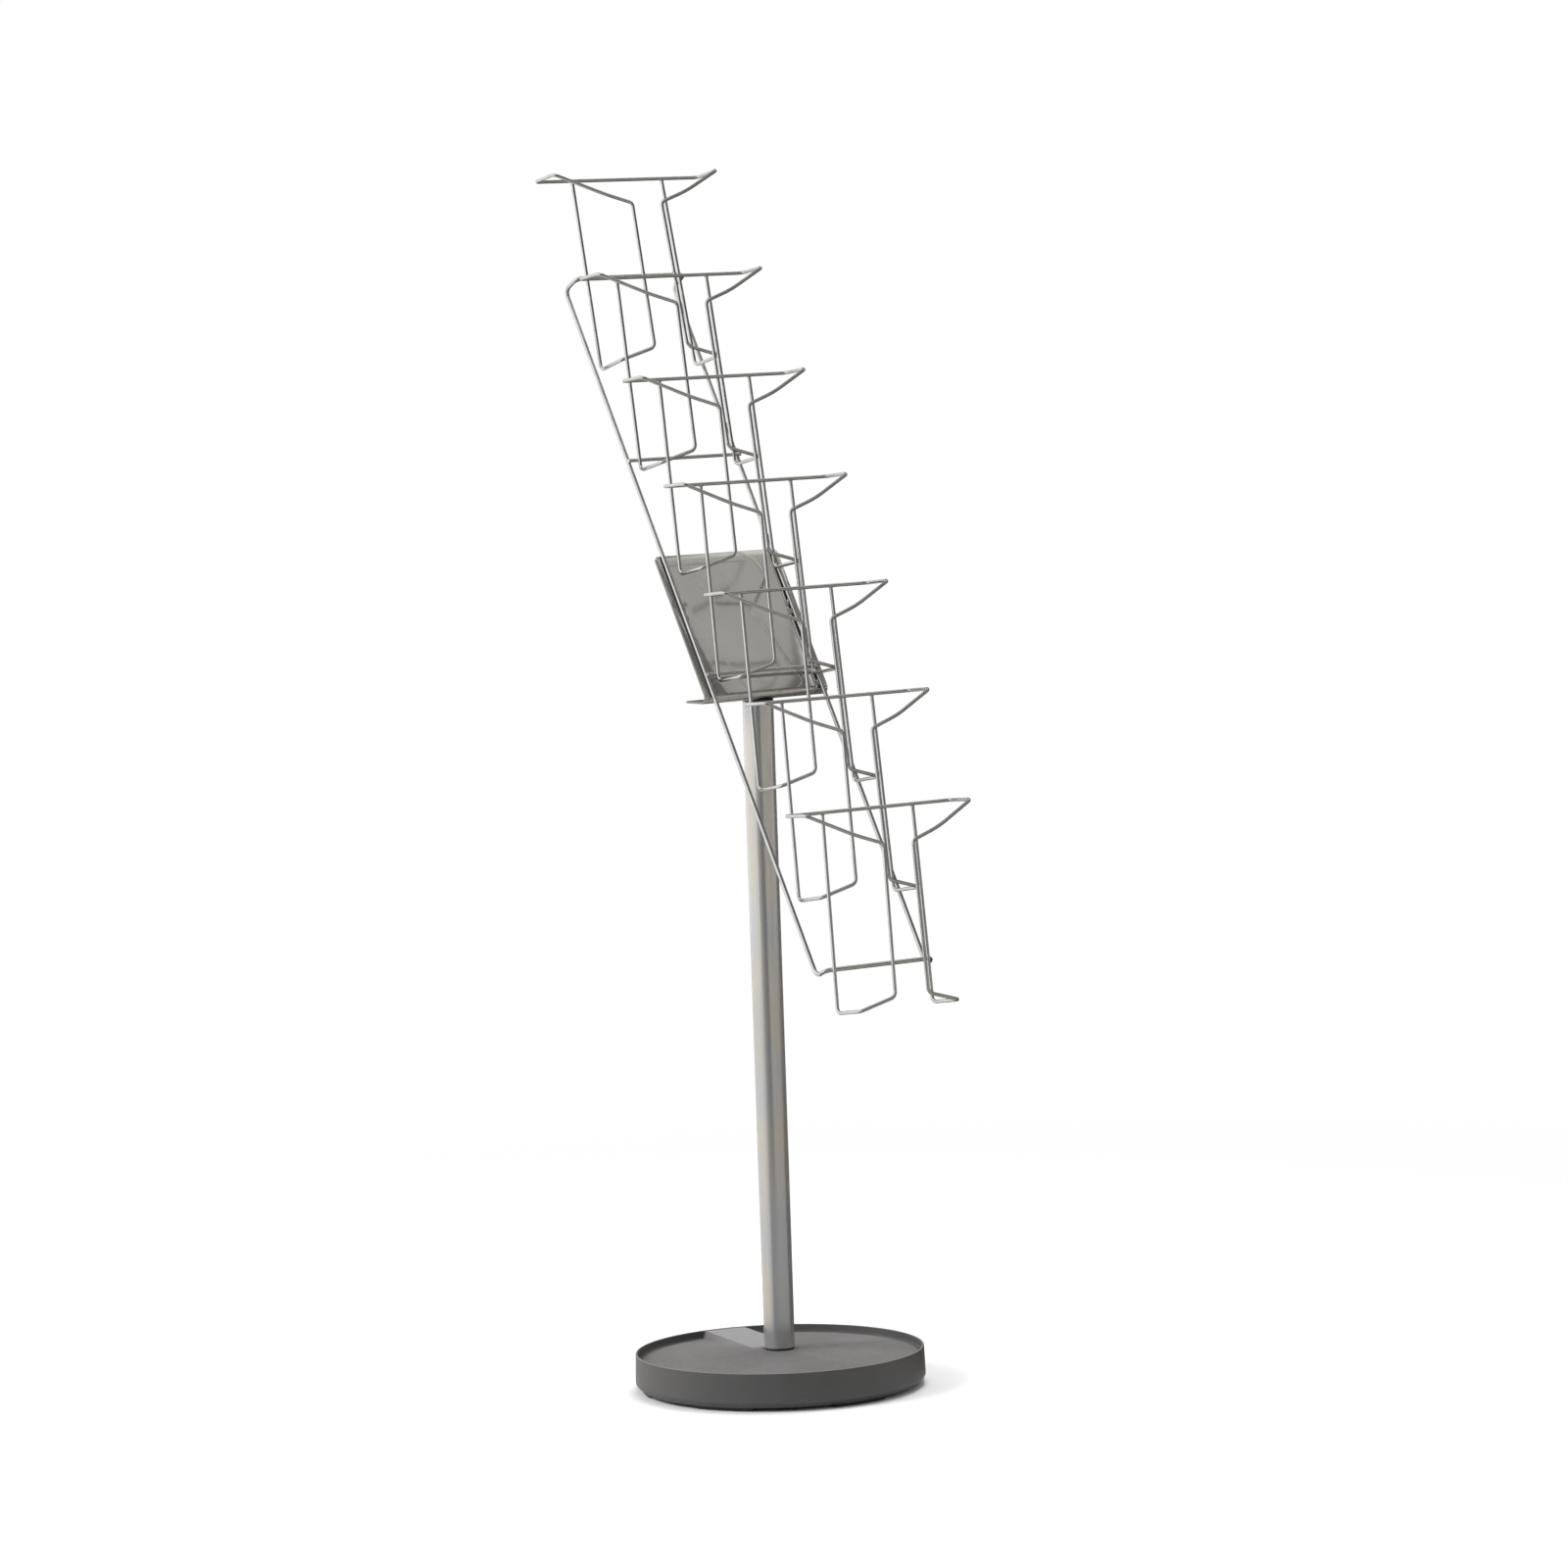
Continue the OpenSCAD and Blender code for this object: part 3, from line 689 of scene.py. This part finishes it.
class RACK_OT_underside(bpy.types.Operator):
    """Finishes what lies in and under the base"""

    bl_idname = "rack.underside"
    bl_label = "Weight, cover, pads and fixings of the base"

    def execute(self, context):
        colours = context.scene.rack_colours
        zinc = plated_steel("zinc_plated", colours.zinc, 0.34)
        wear({
            "base_cover": moulded_plastic("cover_plastic", (0.05, 0.05, 0.05), 0.6),
            "base_weight": rough_casting("cast_weight", (0.10, 0.10, 0.105), 0.7),
            "foot_pads": moulded_plastic("pad_rubber", colours.black, 0.8, 0.0012),
            "cover_screws": plated_steel("blackened_steel", (0.05, 0.05, 0.05), 0.5),
            "base_bolt": zinc,
            "base_washer": zinc,
        })
        return {"FINISHED"}


# Pole

class RACK_OT_pole(bpy.types.Operator):
    """Models the pole and finishes its plugs"""

    bl_idname = "rack.pole"
    bl_label = "Pole and plugs"

    def execute(self, context):
        colours, sizes = context.scene.rack_colours, context.scene.rack_sizes
        outer = sizes.pole_d / 2
        inner = outer - sizes.pole_wall
        low, high = node_low("pole_tube").z, node_high("pole_tube").z
        outline = rounded([(outer, low), (outer, high), (inner, high), (inner, low)], [0.35 * MM] * 4, 3)
        mesh = mesh_from("pole", *lathe(with_loops(outline, 0.5 * MM), 128))
        add_object(mesh, drawn_tube("pole_steel", colours.pole, 0.20), STAND, ["pole_tube"])
        black = moulded_plastic("plug_plastic", colours.black, 0.45)
        brass = plated_steel("turned_brass", (0.60, 0.42, 0.16), 0.3)
        wear({"pole_foot_plug": black, "pole_top_plug": black, "foot_insert": brass, "head_insert": brass})
        return {"FINISHED"}


# Head

def hex_head(flats, low, high, segments=72):
    """A hexagonal head whose upper corners are turned off at 30 degrees"""
    vertices = []
    crown_r = flats / 2 * 0.96
    for turn in turns(segments):
        radius = flats / 2 / cos(turn % (pi / 3) - pi / 6)
        chamfer = max(0.0, radius - crown_r) * tan(radians(30))
        profile = [(0.0, low), (radius, low), (radius, high - chamfer), (crown_r, high), (0.0, high)]
        vertices += around(profile, turn)
    return vertices, grid_faces(segments, len(profile), True)


class RACK_OT_head_fixing(bpy.types.Operator):
    """Models the screw and washer that hold the bracket on the pole"""

    bl_idname = "rack.head_fixing"
    bl_label = "Head screw and washer"

    def execute(self, context):
        zinc = plated_steel("head_zinc", context.scene.rack_colours.zinc, 0.3)
        low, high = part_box("head_washer")
        bore_r = 4.2 * MM
        corners = [(high.x, low.z), (high.x, high.z), (bore_r, high.z), (bore_r, low.z)]
        outline = rounded(corners, [0.3 * MM] * 4, 2)
        mesh = mesh_from("head_washer_plate", *lathe(outline, 64))
        add_object(mesh, zinc, STAND, ["head_washer"])
        head_low = high.z + 0.1 * MM
        low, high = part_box("head_screw")
        shank_r, neck_z = 4 * MM, head_low + 1 * MM
        shank = rounded([(0.0, neck_z), (shank_r, neck_z), (shank_r, low.z), (0.0, low.z)], [0, 0, 0.8 * MM, 0], 2)
        mesh = mesh_from("head_screw_hex", *joined([hex_head(high.y * 2, head_low, high.z), lathe(shank, 48)]))
        add_object(mesh, zinc, STAND, ["head_screw"])
        return {"FINISHED"}


class SheetFold:
    """Carries the flat blank of the bracket to its folded shape"""

    def __init__(self, sizes):
        self.thickness = sizes.sheet_t
        self.outer_r = sizes.bend_r + sizes.sheet_t
        low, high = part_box("bracket")
        self.plate_z = low.z
        self.back_y = sizes.foot_back
        self.slope = Vector((0, sin(sizes.lean), cos(sizes.lean)))
        self.facing = Vector((0, -cos(sizes.lean), sin(sizes.lean)))
        self.centre = Vector((0, low.y + self.outer_r, low.z + self.outer_r))
        self.swing = pi / 2 + sizes.lean
        self.neutral_r = sizes.bend_r + sizes.sheet_t / 2
        self.foot_len = self.back_y - self.centre.y
        self.bend_len = self.neutral_r * self.swing
        self.start = self.centre + self.facing * self.outer_r
        self.panel_len = (high.z - self.start.z) / self.slope.z

    def fold(self, x, v, t):
        """Where a point of the blank goes: v runs from the foot plate's back edge, t through the sheet"""
        if v <= self.foot_len:
            return Vector((x, self.back_y - v, self.plate_z + t))
        if v <= self.foot_len + self.bend_len:
            turn = (v - self.foot_len) / self.neutral_r
            spoke = Vector((0, -sin(turn), -cos(turn)))
            return Vector((x, 0, 0)) + self.centre + spoke * (self.outer_r - t)
        run = v - self.foot_len - self.bend_len
        return Vector((x, 0, 0)) + self.start - self.facing * t + self.slope * run


def build_bracket(sizes, material):
    """The bracket: a blank with rounded corners and a hole, thickened, bevelled and folded"""
    fold = SheetFold(sizes)
    half = node_high("bracket").x
    bend_end = fold.foot_len + fold.bend_len
    total = bend_end + fold.panel_len
    corners = [sizes.foot_corner_r] * 2 + [sizes.panel_corner_r] * 2
    outline = rounded([(-half, 0), (half, 0), (half, total), (-half, total)], corners, 8)
    hole_r = sizes.foot_hole_r
    hole = [(hole_r * cos(turn), fold.back_y + hole_r * sin(turn)) for turn in turns(48)]
    shape = bmesh.new()
    edges = []
    for rim in (outline, hole):
        ring = [shape.verts.new((x, v, 0)) for x, v in rim]
        edges += [shape.edges.new((a, b)) for a, b in zip(ring, ring[1:] + ring[:1])]
    bmesh.ops.triangle_fill(shape, edges=edges, use_beauty=True)
    bend_steps, panel_steps = 20, 12
    cuts = [fold.foot_len + fold.bend_len * k / bend_steps for k in range(bend_steps + 1)]
    cuts += [bend_end + fold.panel_len * k / panel_steps for k in range(1, panel_steps)]
    for cut in cuts:
        geometry = [*shape.verts, *shape.edges, *shape.faces]
        bmesh.ops.bisect_plane(shape, geom=geometry, dist=WELDED_POINTS, plane_co=(0, cut, 0), plane_no=(0, 1, 0))
    bottom = list(shape.faces)
    bmesh.ops.recalc_face_normals(shape, faces=bottom)
    extruded = bmesh.ops.extrude_face_region(shape, geom=bottom, use_keep_orig=True)
    top = [g for g in extruded["geom"] if isinstance(g, bmesh.types.BMVert)]
    bmesh.ops.translate(shape, verts=top, vec=(0, 0, fold.thickness))
    bmesh.ops.recalc_face_normals(shape, faces=shape.faces)
    rims = [e for e in shape.edges if len(e.link_faces) == 2 and e.calc_face_angle(0) > radians(60)]
    bmesh.ops.bevel(
        shape, geom=rims, offset=SHEET_EDGE_R, segments=2, profile=0.5, affect="EDGES", clamp_overlap=True
    )
    for vertex in shape.verts:
        vertex.co = fold.fold(*vertex.co)
    mesh = smooth_mesh("bracket_sheet", shape, radians(40))
    add_object(mesh, material, HEAD, ["bracket"])


class RACK_OT_bracket(bpy.types.Operator):
    """Models the folded sheet bracket"""

    bl_idname = "rack.bracket"
    bl_label = "Bracket"

    def execute(self, context):
        sizes = context.scene.rack_sizes
        build_bracket(sizes, satin_sheet("bracket_steel", context.scene.rack_colours.panel, 0.12, sizes))
        return {"FINISHED"}


class Layout:
    """Where the wires run: points as (y, z), by the same rules as the CAD model"""

    def __init__(self, sizes):
        self.sizes = sizes
        self.slope = Vector((sin(sizes.lean), cos(sizes.lean)))
        self.facing = Vector((-cos(sizes.lean), sin(sizes.lean)))
        self.foot = Vector((-sizes.rail_reach, node_low("bracket").z))
        gap = 0.1 * MM
        self.bar_out = (sizes.rail_d + sizes.bar_d) / 2 + gap
        self.bar_touch = (sizes.bar_d + sizes.wire_d) / 2 + gap
        self.rail_touch = (sizes.rail_d + sizes.wire_d) / 2 + gap
        self.nest = sizes.front_depth + sizes.wire_d + gap

    def on_rail(self, up, out):
        """A point at this height along the rails and this far in front of them"""
        return self.foot + self.slope * up + self.facing * out

    def forward(self, k):
        """The way a pocket faces"""
        return Vector((-cos(LEANS[k]), sin(LEANS[k])))

    def upward(self, k):
        """The way up a pocket's back"""
        return Vector((sin(LEANS[k]), cos(LEANS[k])))

    def seat(self, k):
        """The straight top wire of a pocket"""
        sizes = self.sizes
        if k == LOWER_BAR_POCKET:
            return (
                self.on_rail(sizes.lower_bar_up, self.bar_out) + self.forward(k) * self.bar_touch
                + self.upward(k) * (sizes.pocket_h - sizes.corner_below_bar)
            )
        if k < LOWER_BAR_POCKET:
            return self.seat(k + 1) - self.forward(k) * self.nest + self.upward(k) * sizes.pocket_step
        return self.seat(k - 1) + self.forward(k - 1) * self.nest - self.upward(k - 1) * sizes.pocket_step

    def back_x(self, drop):
        """How far to the side a pocket's back wires are, this far down its back"""
        sizes = self.sizes
        return (sizes.back_top_w + (sizes.back_low_w - sizes.back_top_w) * drop / sizes.pocket_h) / 2


def nugget(place, size, seed):
    """A small lump of weld metal: a squashed ball with an uneven skin"""
    unevenness, waviness = 0.16, 1.7
    lump = bmesh.new()
    bmesh.ops.create_icosphere(lump, subdivisions=3, radius=1.0)
    for vertex in lump.verts:
        swell = 1 + unevenness * noise.noise(vertex.co * waviness + Vector((seed * 3.1, seed * 1.7, 0)))
        vertex.co = Vector([c * s for c, s in zip(vertex.co * swell, size)]) + place
    vertices = [vertex.co.copy() for vertex in lump.verts]
    faces = [tuple(vertex.index for vertex in face.verts) for face in lump.faces]
    lump.free()
    return vertices, faces


def weld_places(sizes):
    """Where the welds are, and each one's half sizes"""
    layout = Layout(sizes)
    places = []

    def both(x, point, *size):
        """Notes a weld on each side, with its half sizes in millimetres"""
        for side in (-1, 1):
            places.append((Vector((side * x, point.x, point.y)), [s * MM for s in size]))

    for k in range(POCKET_COUNT):
        seat = layout.seat(k)
        both(sizes.back_top_w / 2, seat - layout.upward(k) * 2.0 * MM, 2.5, 2.3, 1.5)
        if k < POCKET_COUNT - 1:
            share = (sizes.pocket_step - sizes.front_drop) / (sizes.pocket_h - sizes.front_drop - sizes.front_rise)
            x = (sizes.front_top_w + (sizes.front_low_w - sizes.front_top_w) * share) / 2
            touch = sizes.front_depth + sizes.wire_d / 2
            both(x, seat + layout.forward(k) * touch - layout.upward(k) * sizes.pocket_step, 1.9, 1.7, 1.7)
    for k, up in ((UPPER_BAR_POCKET, sizes.upper_bar_up), (LOWER_BAR_POCKET, sizes.lower_bar_up)):
        at_bar = layout.on_rail(up, layout.bar_out)
        x = layout.back_x((layout.seat(k) - at_bar).dot(layout.upward(k)))
        both(x, at_bar + layout.forward(k) * layout.bar_touch / 2, 1.9, 1.7, 1.7)
        both(sizes.rail_w / 2, layout.on_rail(up, layout.bar_out / 2), 2.0, 1.8, 1.8)
    for k, drop in ((0, sizes.top_bar_drop), (POCKET_COUNT - 1, sizes.pocket_h - sizes.bottom_bar_rise)):
        point = layout.seat(k) - layout.forward(k) * layout.rail_touch / 2 - layout.upward(k) * drop
        both(layout.back_x(drop), point, 2.1, 1.9, 1.9)
    beside_rail = sizes.rail_w / 2 - (sizes.rail_d / 2 + 0.6 * MM)
    for share in (0.09, 0.57, 0.63):
        point = layout.on_rail(sizes.panel_top_up * share, 0.9 * MM - sizes.rail_d / 2)
        both(beside_rail, point, 1.7, 1.7, 4.2)
    return places


class RACK_OT_welds(bpy.types.Operator):
    """Models the lumps of weld metal where wires and sheet meet"""

    bl_idname = "rack.welds"
    bl_label = "Welds"

    def execute(self, context):
        places = weld_places(context.scene.rack_sizes)
        lumps = joined(nugget(place, size, seed) for seed, (place, size) in enumerate(places))
        bead = coated_wire("weld_metal", shade(context.scene.rack_colours.wire, 0.8), 0.36)
        add_object(mesh_from("weld_lumps", *lumps, pi), bead, HEAD, ["frame_welds"])
        return {"FINISHED"}


class RACK_OT_frame(bpy.types.Operator):
    """Finishes the frame's wire and its crossbars"""

    bl_idname = "rack.frame"
    bl_label = "Frame and crossbars"

    def execute(self, context):
        wire = coated_wire("frame_wire", context.scene.rack_colours.frame_wire, 0.15)
        wear({"frame_loop": wire, "upper_crossbar": wire, "lower_crossbar": wire})
        return {"FINISHED"}


class RACK_OT_pockets(bpy.types.Operator):
    """Finishes the wire pockets"""

    bl_idname = "rack.pockets"
    bl_label = "Pockets"

    def execute(self, context):
        wire = coated_wire("pocket_wire", context.scene.rack_colours.wire, 0.14)
        wear({f"pocket_{k + 1}": wire for k in range(POCKET_COUNT)})
        return {"FINISHED"}


# Studio

def sight(stage):
    """The camera's forward, right and up directions"""
    yaw, pitch, roll = stage.yaw, stage.pitch, stage.roll
    forward = Vector((sin(yaw) * cos(pitch), cos(yaw) * cos(pitch), sin(pitch)))
    level = Vector((cos(yaw), -sin(yaw), 0))
    upright = level.cross(forward)
    right = cos(roll) * level + sin(roll) * upright
    return forward, right, right.cross(forward)


def camera_side(stage):
    """The turn about Z at which the camera stands"""
    return atan2(-cos(stage.yaw), -sin(stage.yaw))


def add_camera(stage):
    """The camera at the photograph's place and angle"""
    forward, right, up = sight(stage)
    data = bpy.data.cameras.new("camera")
    data.sensor_width = SENSOR_MM
    data.lens = stage.focal_px / PICTURE_PX * SENSOR_MM
    data.clip_end = 200.0
    camera = bpy.data.objects.new("camera", data)
    bpy.context.scene.collection.objects.link(camera)
    turn = Matrix((right, up, -forward)).transposed().to_4x4()
    place = Vector((stage.aim_x, 0, stage.aim_z)) - forward * stage.distance
    camera.matrix_world = Matrix.Translation(place) @ turn
    bpy.context.scene.camera = camera


def add_floor(stage):
    """A pale floor that keeps the shadow near the rack and fades to plain white"""
    rings, spokes = (0.3, 0.8, 2.0, 6.0, 30.0), 64
    seen_fade, mirrored_fade = (0.55, 2.4), (1.0, 3.5)
    vertices = [(r * cos(turn), r * sin(turn), 0) for r in rings for turn in turns(spokes)] + [(0, 0, 0)]
    hub = len(vertices) - 1
    faces = [(hub, i, (i + 1) % spokes) for i in range(spokes)]
    faces += grid_faces(len(rings), spokes, wrap_rows=True)

    def shader(finish):
        """The fade from the matte floor to plain white"""
        spot = finish.node("ShaderNodeVectorMath", {"operation": "LENGTH"}, {0: finish.place()}, "Value")
        seen, glossy = finish.rays("Is Camera Ray", "Is Glossy Ray")
        far = spot.between(*seen_fade) * seen + spot.between(*mirrored_fade) * glossy
        matte = finish.principled({"Base Color": (*stage.floor_tone, 1), "Roughness": 0.85})
        return finish.node("ShaderNodeMixShader", None, {0: far, 1: matte, 2: finish.glow((1, 1, 1))}, "Shader")

    add_object(plain_mesh("floor", vertices, faces), new_material("floor", shader))


ROOM_LIGHT = 0.42


def add_world():
    """White where it is seen or mirrored, and a soft grey light elsewhere"""
    world = bpy.data.worlds.new("studio")
    bpy.context.scene.world = world
    finish = Finish(world)
    seen, glossy, through = finish.rays("Is Camera Ray", "Is Glossy Ray", "Is Transmission Ray")
    shown = (seen + glossy + through).at_most(1.0)
    strength = shown + (1 - shown) * ROOM_LIGHT
    light = finish.node("ShaderNodeBackground", None, {"Color": (1, 1, 1, 1), "Strength": strength}, "Background")
    finish.node("ShaderNodeOutputWorld", None, {"Surface": light})


# Curved cards that the metal mirrors: name, turns from the camera's side and rises in degrees, light
CARDS = (
    ("left_card", (-158.0, -38.0), (0.0, 64.0), (1.4, 1.4, 1.4)),
    ("left_low", (-38.0, -18.0), (0.0, 7.0), (0.32, 0.32, 0.32)),
    ("left_high", (-38.0, -18.0), (7.0, 64.0), (1.4, 1.4, 1.4)),
    ("front_low", (-18.0, 12.0), (0.0, 7.0), (0.04, 0.042, 0.055)),
    ("front_flag", (-18.0, 12.0), (7.0, 64.0), (0.20, 0.21, 0.235)),
    ("side_low", (12.0, 100.0), (0.0, 7.0), (0.78, 0.765, 0.73)),
    ("side_card", (12.0, 108.0), (7.0, 24.0), (0.28, 0.275, 0.265)),
    ("side_flag", (12.0, 104.0), (24.0, 44.5), (0.12, 0.12, 0.12)),
    ("front_sky", (12.0, 70.0), (44.5, 64.0), (0.12, 0.12, 0.12)),
    ("side_sky", (70.0, 104.0), (44.5, 60.0), (0.50, 0.49, 0.465)),
    ("rear_flag", (108.0, 202.0), (0.0, 42.0), (0.13, 0.115, 0.10)),
    ("rear_sky", (104.0, 202.0), (42.0, 60.0), (0.95, 0.94, 0.92)),
    ("high_flag", (80.0, 202.0), (60.0, 72.0), (0.12, 0.12, 0.12)),
    ("top_card", (-180.0, 180.0), (72.0, 90.0), (1.0, 1.0, 1.0)),
    ("left_ground", (-158.0, -62.0), (-62.0, -1.5), (1.05, 1.01, 0.95)),
    ("left_middle", (-62.0, -38.0), (-62.0, -1.5), (0.78, 0.77, 0.74)),
    ("left_edge", (-38.0, -18.0), (-62.0, -1.5), (0.22, 0.22, 0.215)),
    ("front_ground", (-18.0, 12.0), (-13.5, -1.5), (0.04, 0.045, 0.06)),
    ("front_near", (-18.0, 12.0), (-62.0, -13.5), (0.38, 0.375, 0.36)),
    ("side_ground", (12.0, 66.0), (-62.0, -1.5), (0.47, 0.45, 0.41)),
    ("side_far", (66.0, 92.0), (-62.0, -1.5), (0.45, 0.42, 0.37)),
    ("rear_ground", (92.0, 202.0), (-62.0, -1.5), (0.09, 0.075, 0.06)),
)
CARD_RADIUS = 5.0
CARD_COLUMNS, CARD_ROWS = 48, 16
# Cards below the horizon lie flat on the floor, as seen from this height at the pole
GROUND_Z = 3 * MM
MIRROR_Z = 0.4


def add_card(name, turn_range, rise_range, light, stage):
    """A curved card, or a flat one on the floor, that only shows in reflections"""
    vertices = []
    for i in range(CARD_COLUMNS + 1):
        turn = camera_side(stage) + radians(turn_range[0] + (turn_range[1] - turn_range[0]) * i / CARD_COLUMNS)
        for j in range(CARD_ROWS + 1):
            rise = radians(rise_range[0] + (rise_range[1] - rise_range[0]) * j / CARD_ROWS)
            flat, height = CARD_RADIUS * cos(rise), CARD_RADIUS * sin(rise) + GROUND_Z
            if rise < 0:
                flat, height = min(CARD_RADIUS, MIRROR_Z / tan(-rise)), GROUND_Z
            vertices.append((flat * cos(turn), flat * sin(turn), height))
    mesh = plain_mesh(name, vertices, grid_faces(CARD_COLUMNS + 1, CARD_ROWS + 1))
    card = add_object(mesh, new_material(name, lambda finish: finish.glow(light)))
    card.visible_camera = False
    card.visible_diffuse = False
    card.visible_shadow = False
    card.visible_transmission = False


# Lamps: name, turn from the camera's side in degrees, height, distance, width and power in watts
LAMPS = (
    ("key", -72.0, 2.3, 3.2, 1.8, 125.0),
    ("fill", 55.0, 1.8, 3.6, 2.2, 14.0),
    ("top", 150.0, 3.4, 0.8, 1.6, 85.0),
)
LAMP_AIM = Vector((0, 0, 0.7))


def add_lamp(name, degrees, height, distance, width, power, stage):
    """A soft square lamp that points at the rack's middle"""
    data = bpy.data.lights.new(name, "AREA")
    data.shape = "SQUARE"
    data.size = width
    data.energy = power
    lamp = bpy.data.objects.new(name, data)
    lamp.visible_glossy = False
    bpy.context.scene.collection.objects.link(lamp)
    turn = camera_side(stage) + radians(degrees)
    place = Vector((distance * cos(turn), distance * sin(turn), height))
    aim = (LAMP_AIM - place).to_track_quat("-Z", "Y").to_matrix().to_4x4()
    lamp.matrix_world = Matrix.Translation(place) @ aim


class RACK_OT_stage(bpy.types.Operator):
    """Sets up the floor, the light and the camera"""

    bl_idname = "rack.stage"
    bl_label = "Studio"

    def execute(self, context):
        stage = context.scene.rack_stage
        add_floor(stage)
        add_world()
        for card in CARDS:
            add_card(*card, stage)
        for lamp in LAMPS:
            add_lamp(*lamp, stage)
        add_camera(stage)
        context.scene.view_settings.view_transform = "Standard"
        return {"FINISHED"}


class RACK_PT_panel(bpy.types.Panel):
    """Lists the rack's pieces, sizes and colours"""

    bl_label = "Display rack"
    bl_idname = "RACK_PT_panel"
    bl_space_type = "VIEW_3D"
    bl_region_type = "UI"
    bl_category = "Rack"

    def draw(self, context):
        for operator in OPERATORS:
            self.layout.operator(operator.bl_idname)
        for group in (context.scene.rack_sizes, context.scene.rack_colours, context.scene.rack_stage):
            box = self.layout.box()
            for key in group.__annotations__:
                box.prop(group, key)


OPERATORS = (
    RACK_OT_stage,
    RACK_OT_base,
    RACK_OT_underside,
    RACK_OT_pole,
    RACK_OT_head_fixing,
    RACK_OT_bracket,
    RACK_OT_frame,
    RACK_OT_pockets,
    RACK_OT_welds,
)
GROUPS = {"rack_sizes": RackSizes, "rack_colours": RackColours, "rack_stage": StageSettings}
CLASSES = (*GROUPS.values(), *OPERATORS, RACK_PT_panel)


def register():
    """Registers the classes and gives the scene its settings"""
    for kind in CLASSES:
        bpy.utils.register_class(kind)
    for name, group in GROUPS.items():
        setattr(bpy.types.Scene, name, bpy.props.PointerProperty(type=group))


def unregister():
    """Takes the settings and the classes away again"""
    for name in GROUPS:
        delattr(bpy.types.Scene, name)
    for kind in reversed(CLASSES):
        bpy.utils.unregister_class(kind)


def main():
    """Dresses the whole rack"""
    register()
    for operator in OPERATORS:
        family, name = operator.bl_idname.split(".")
        getattr(getattr(bpy.ops, family), name)()


if __name__ == "__main__":
    main()
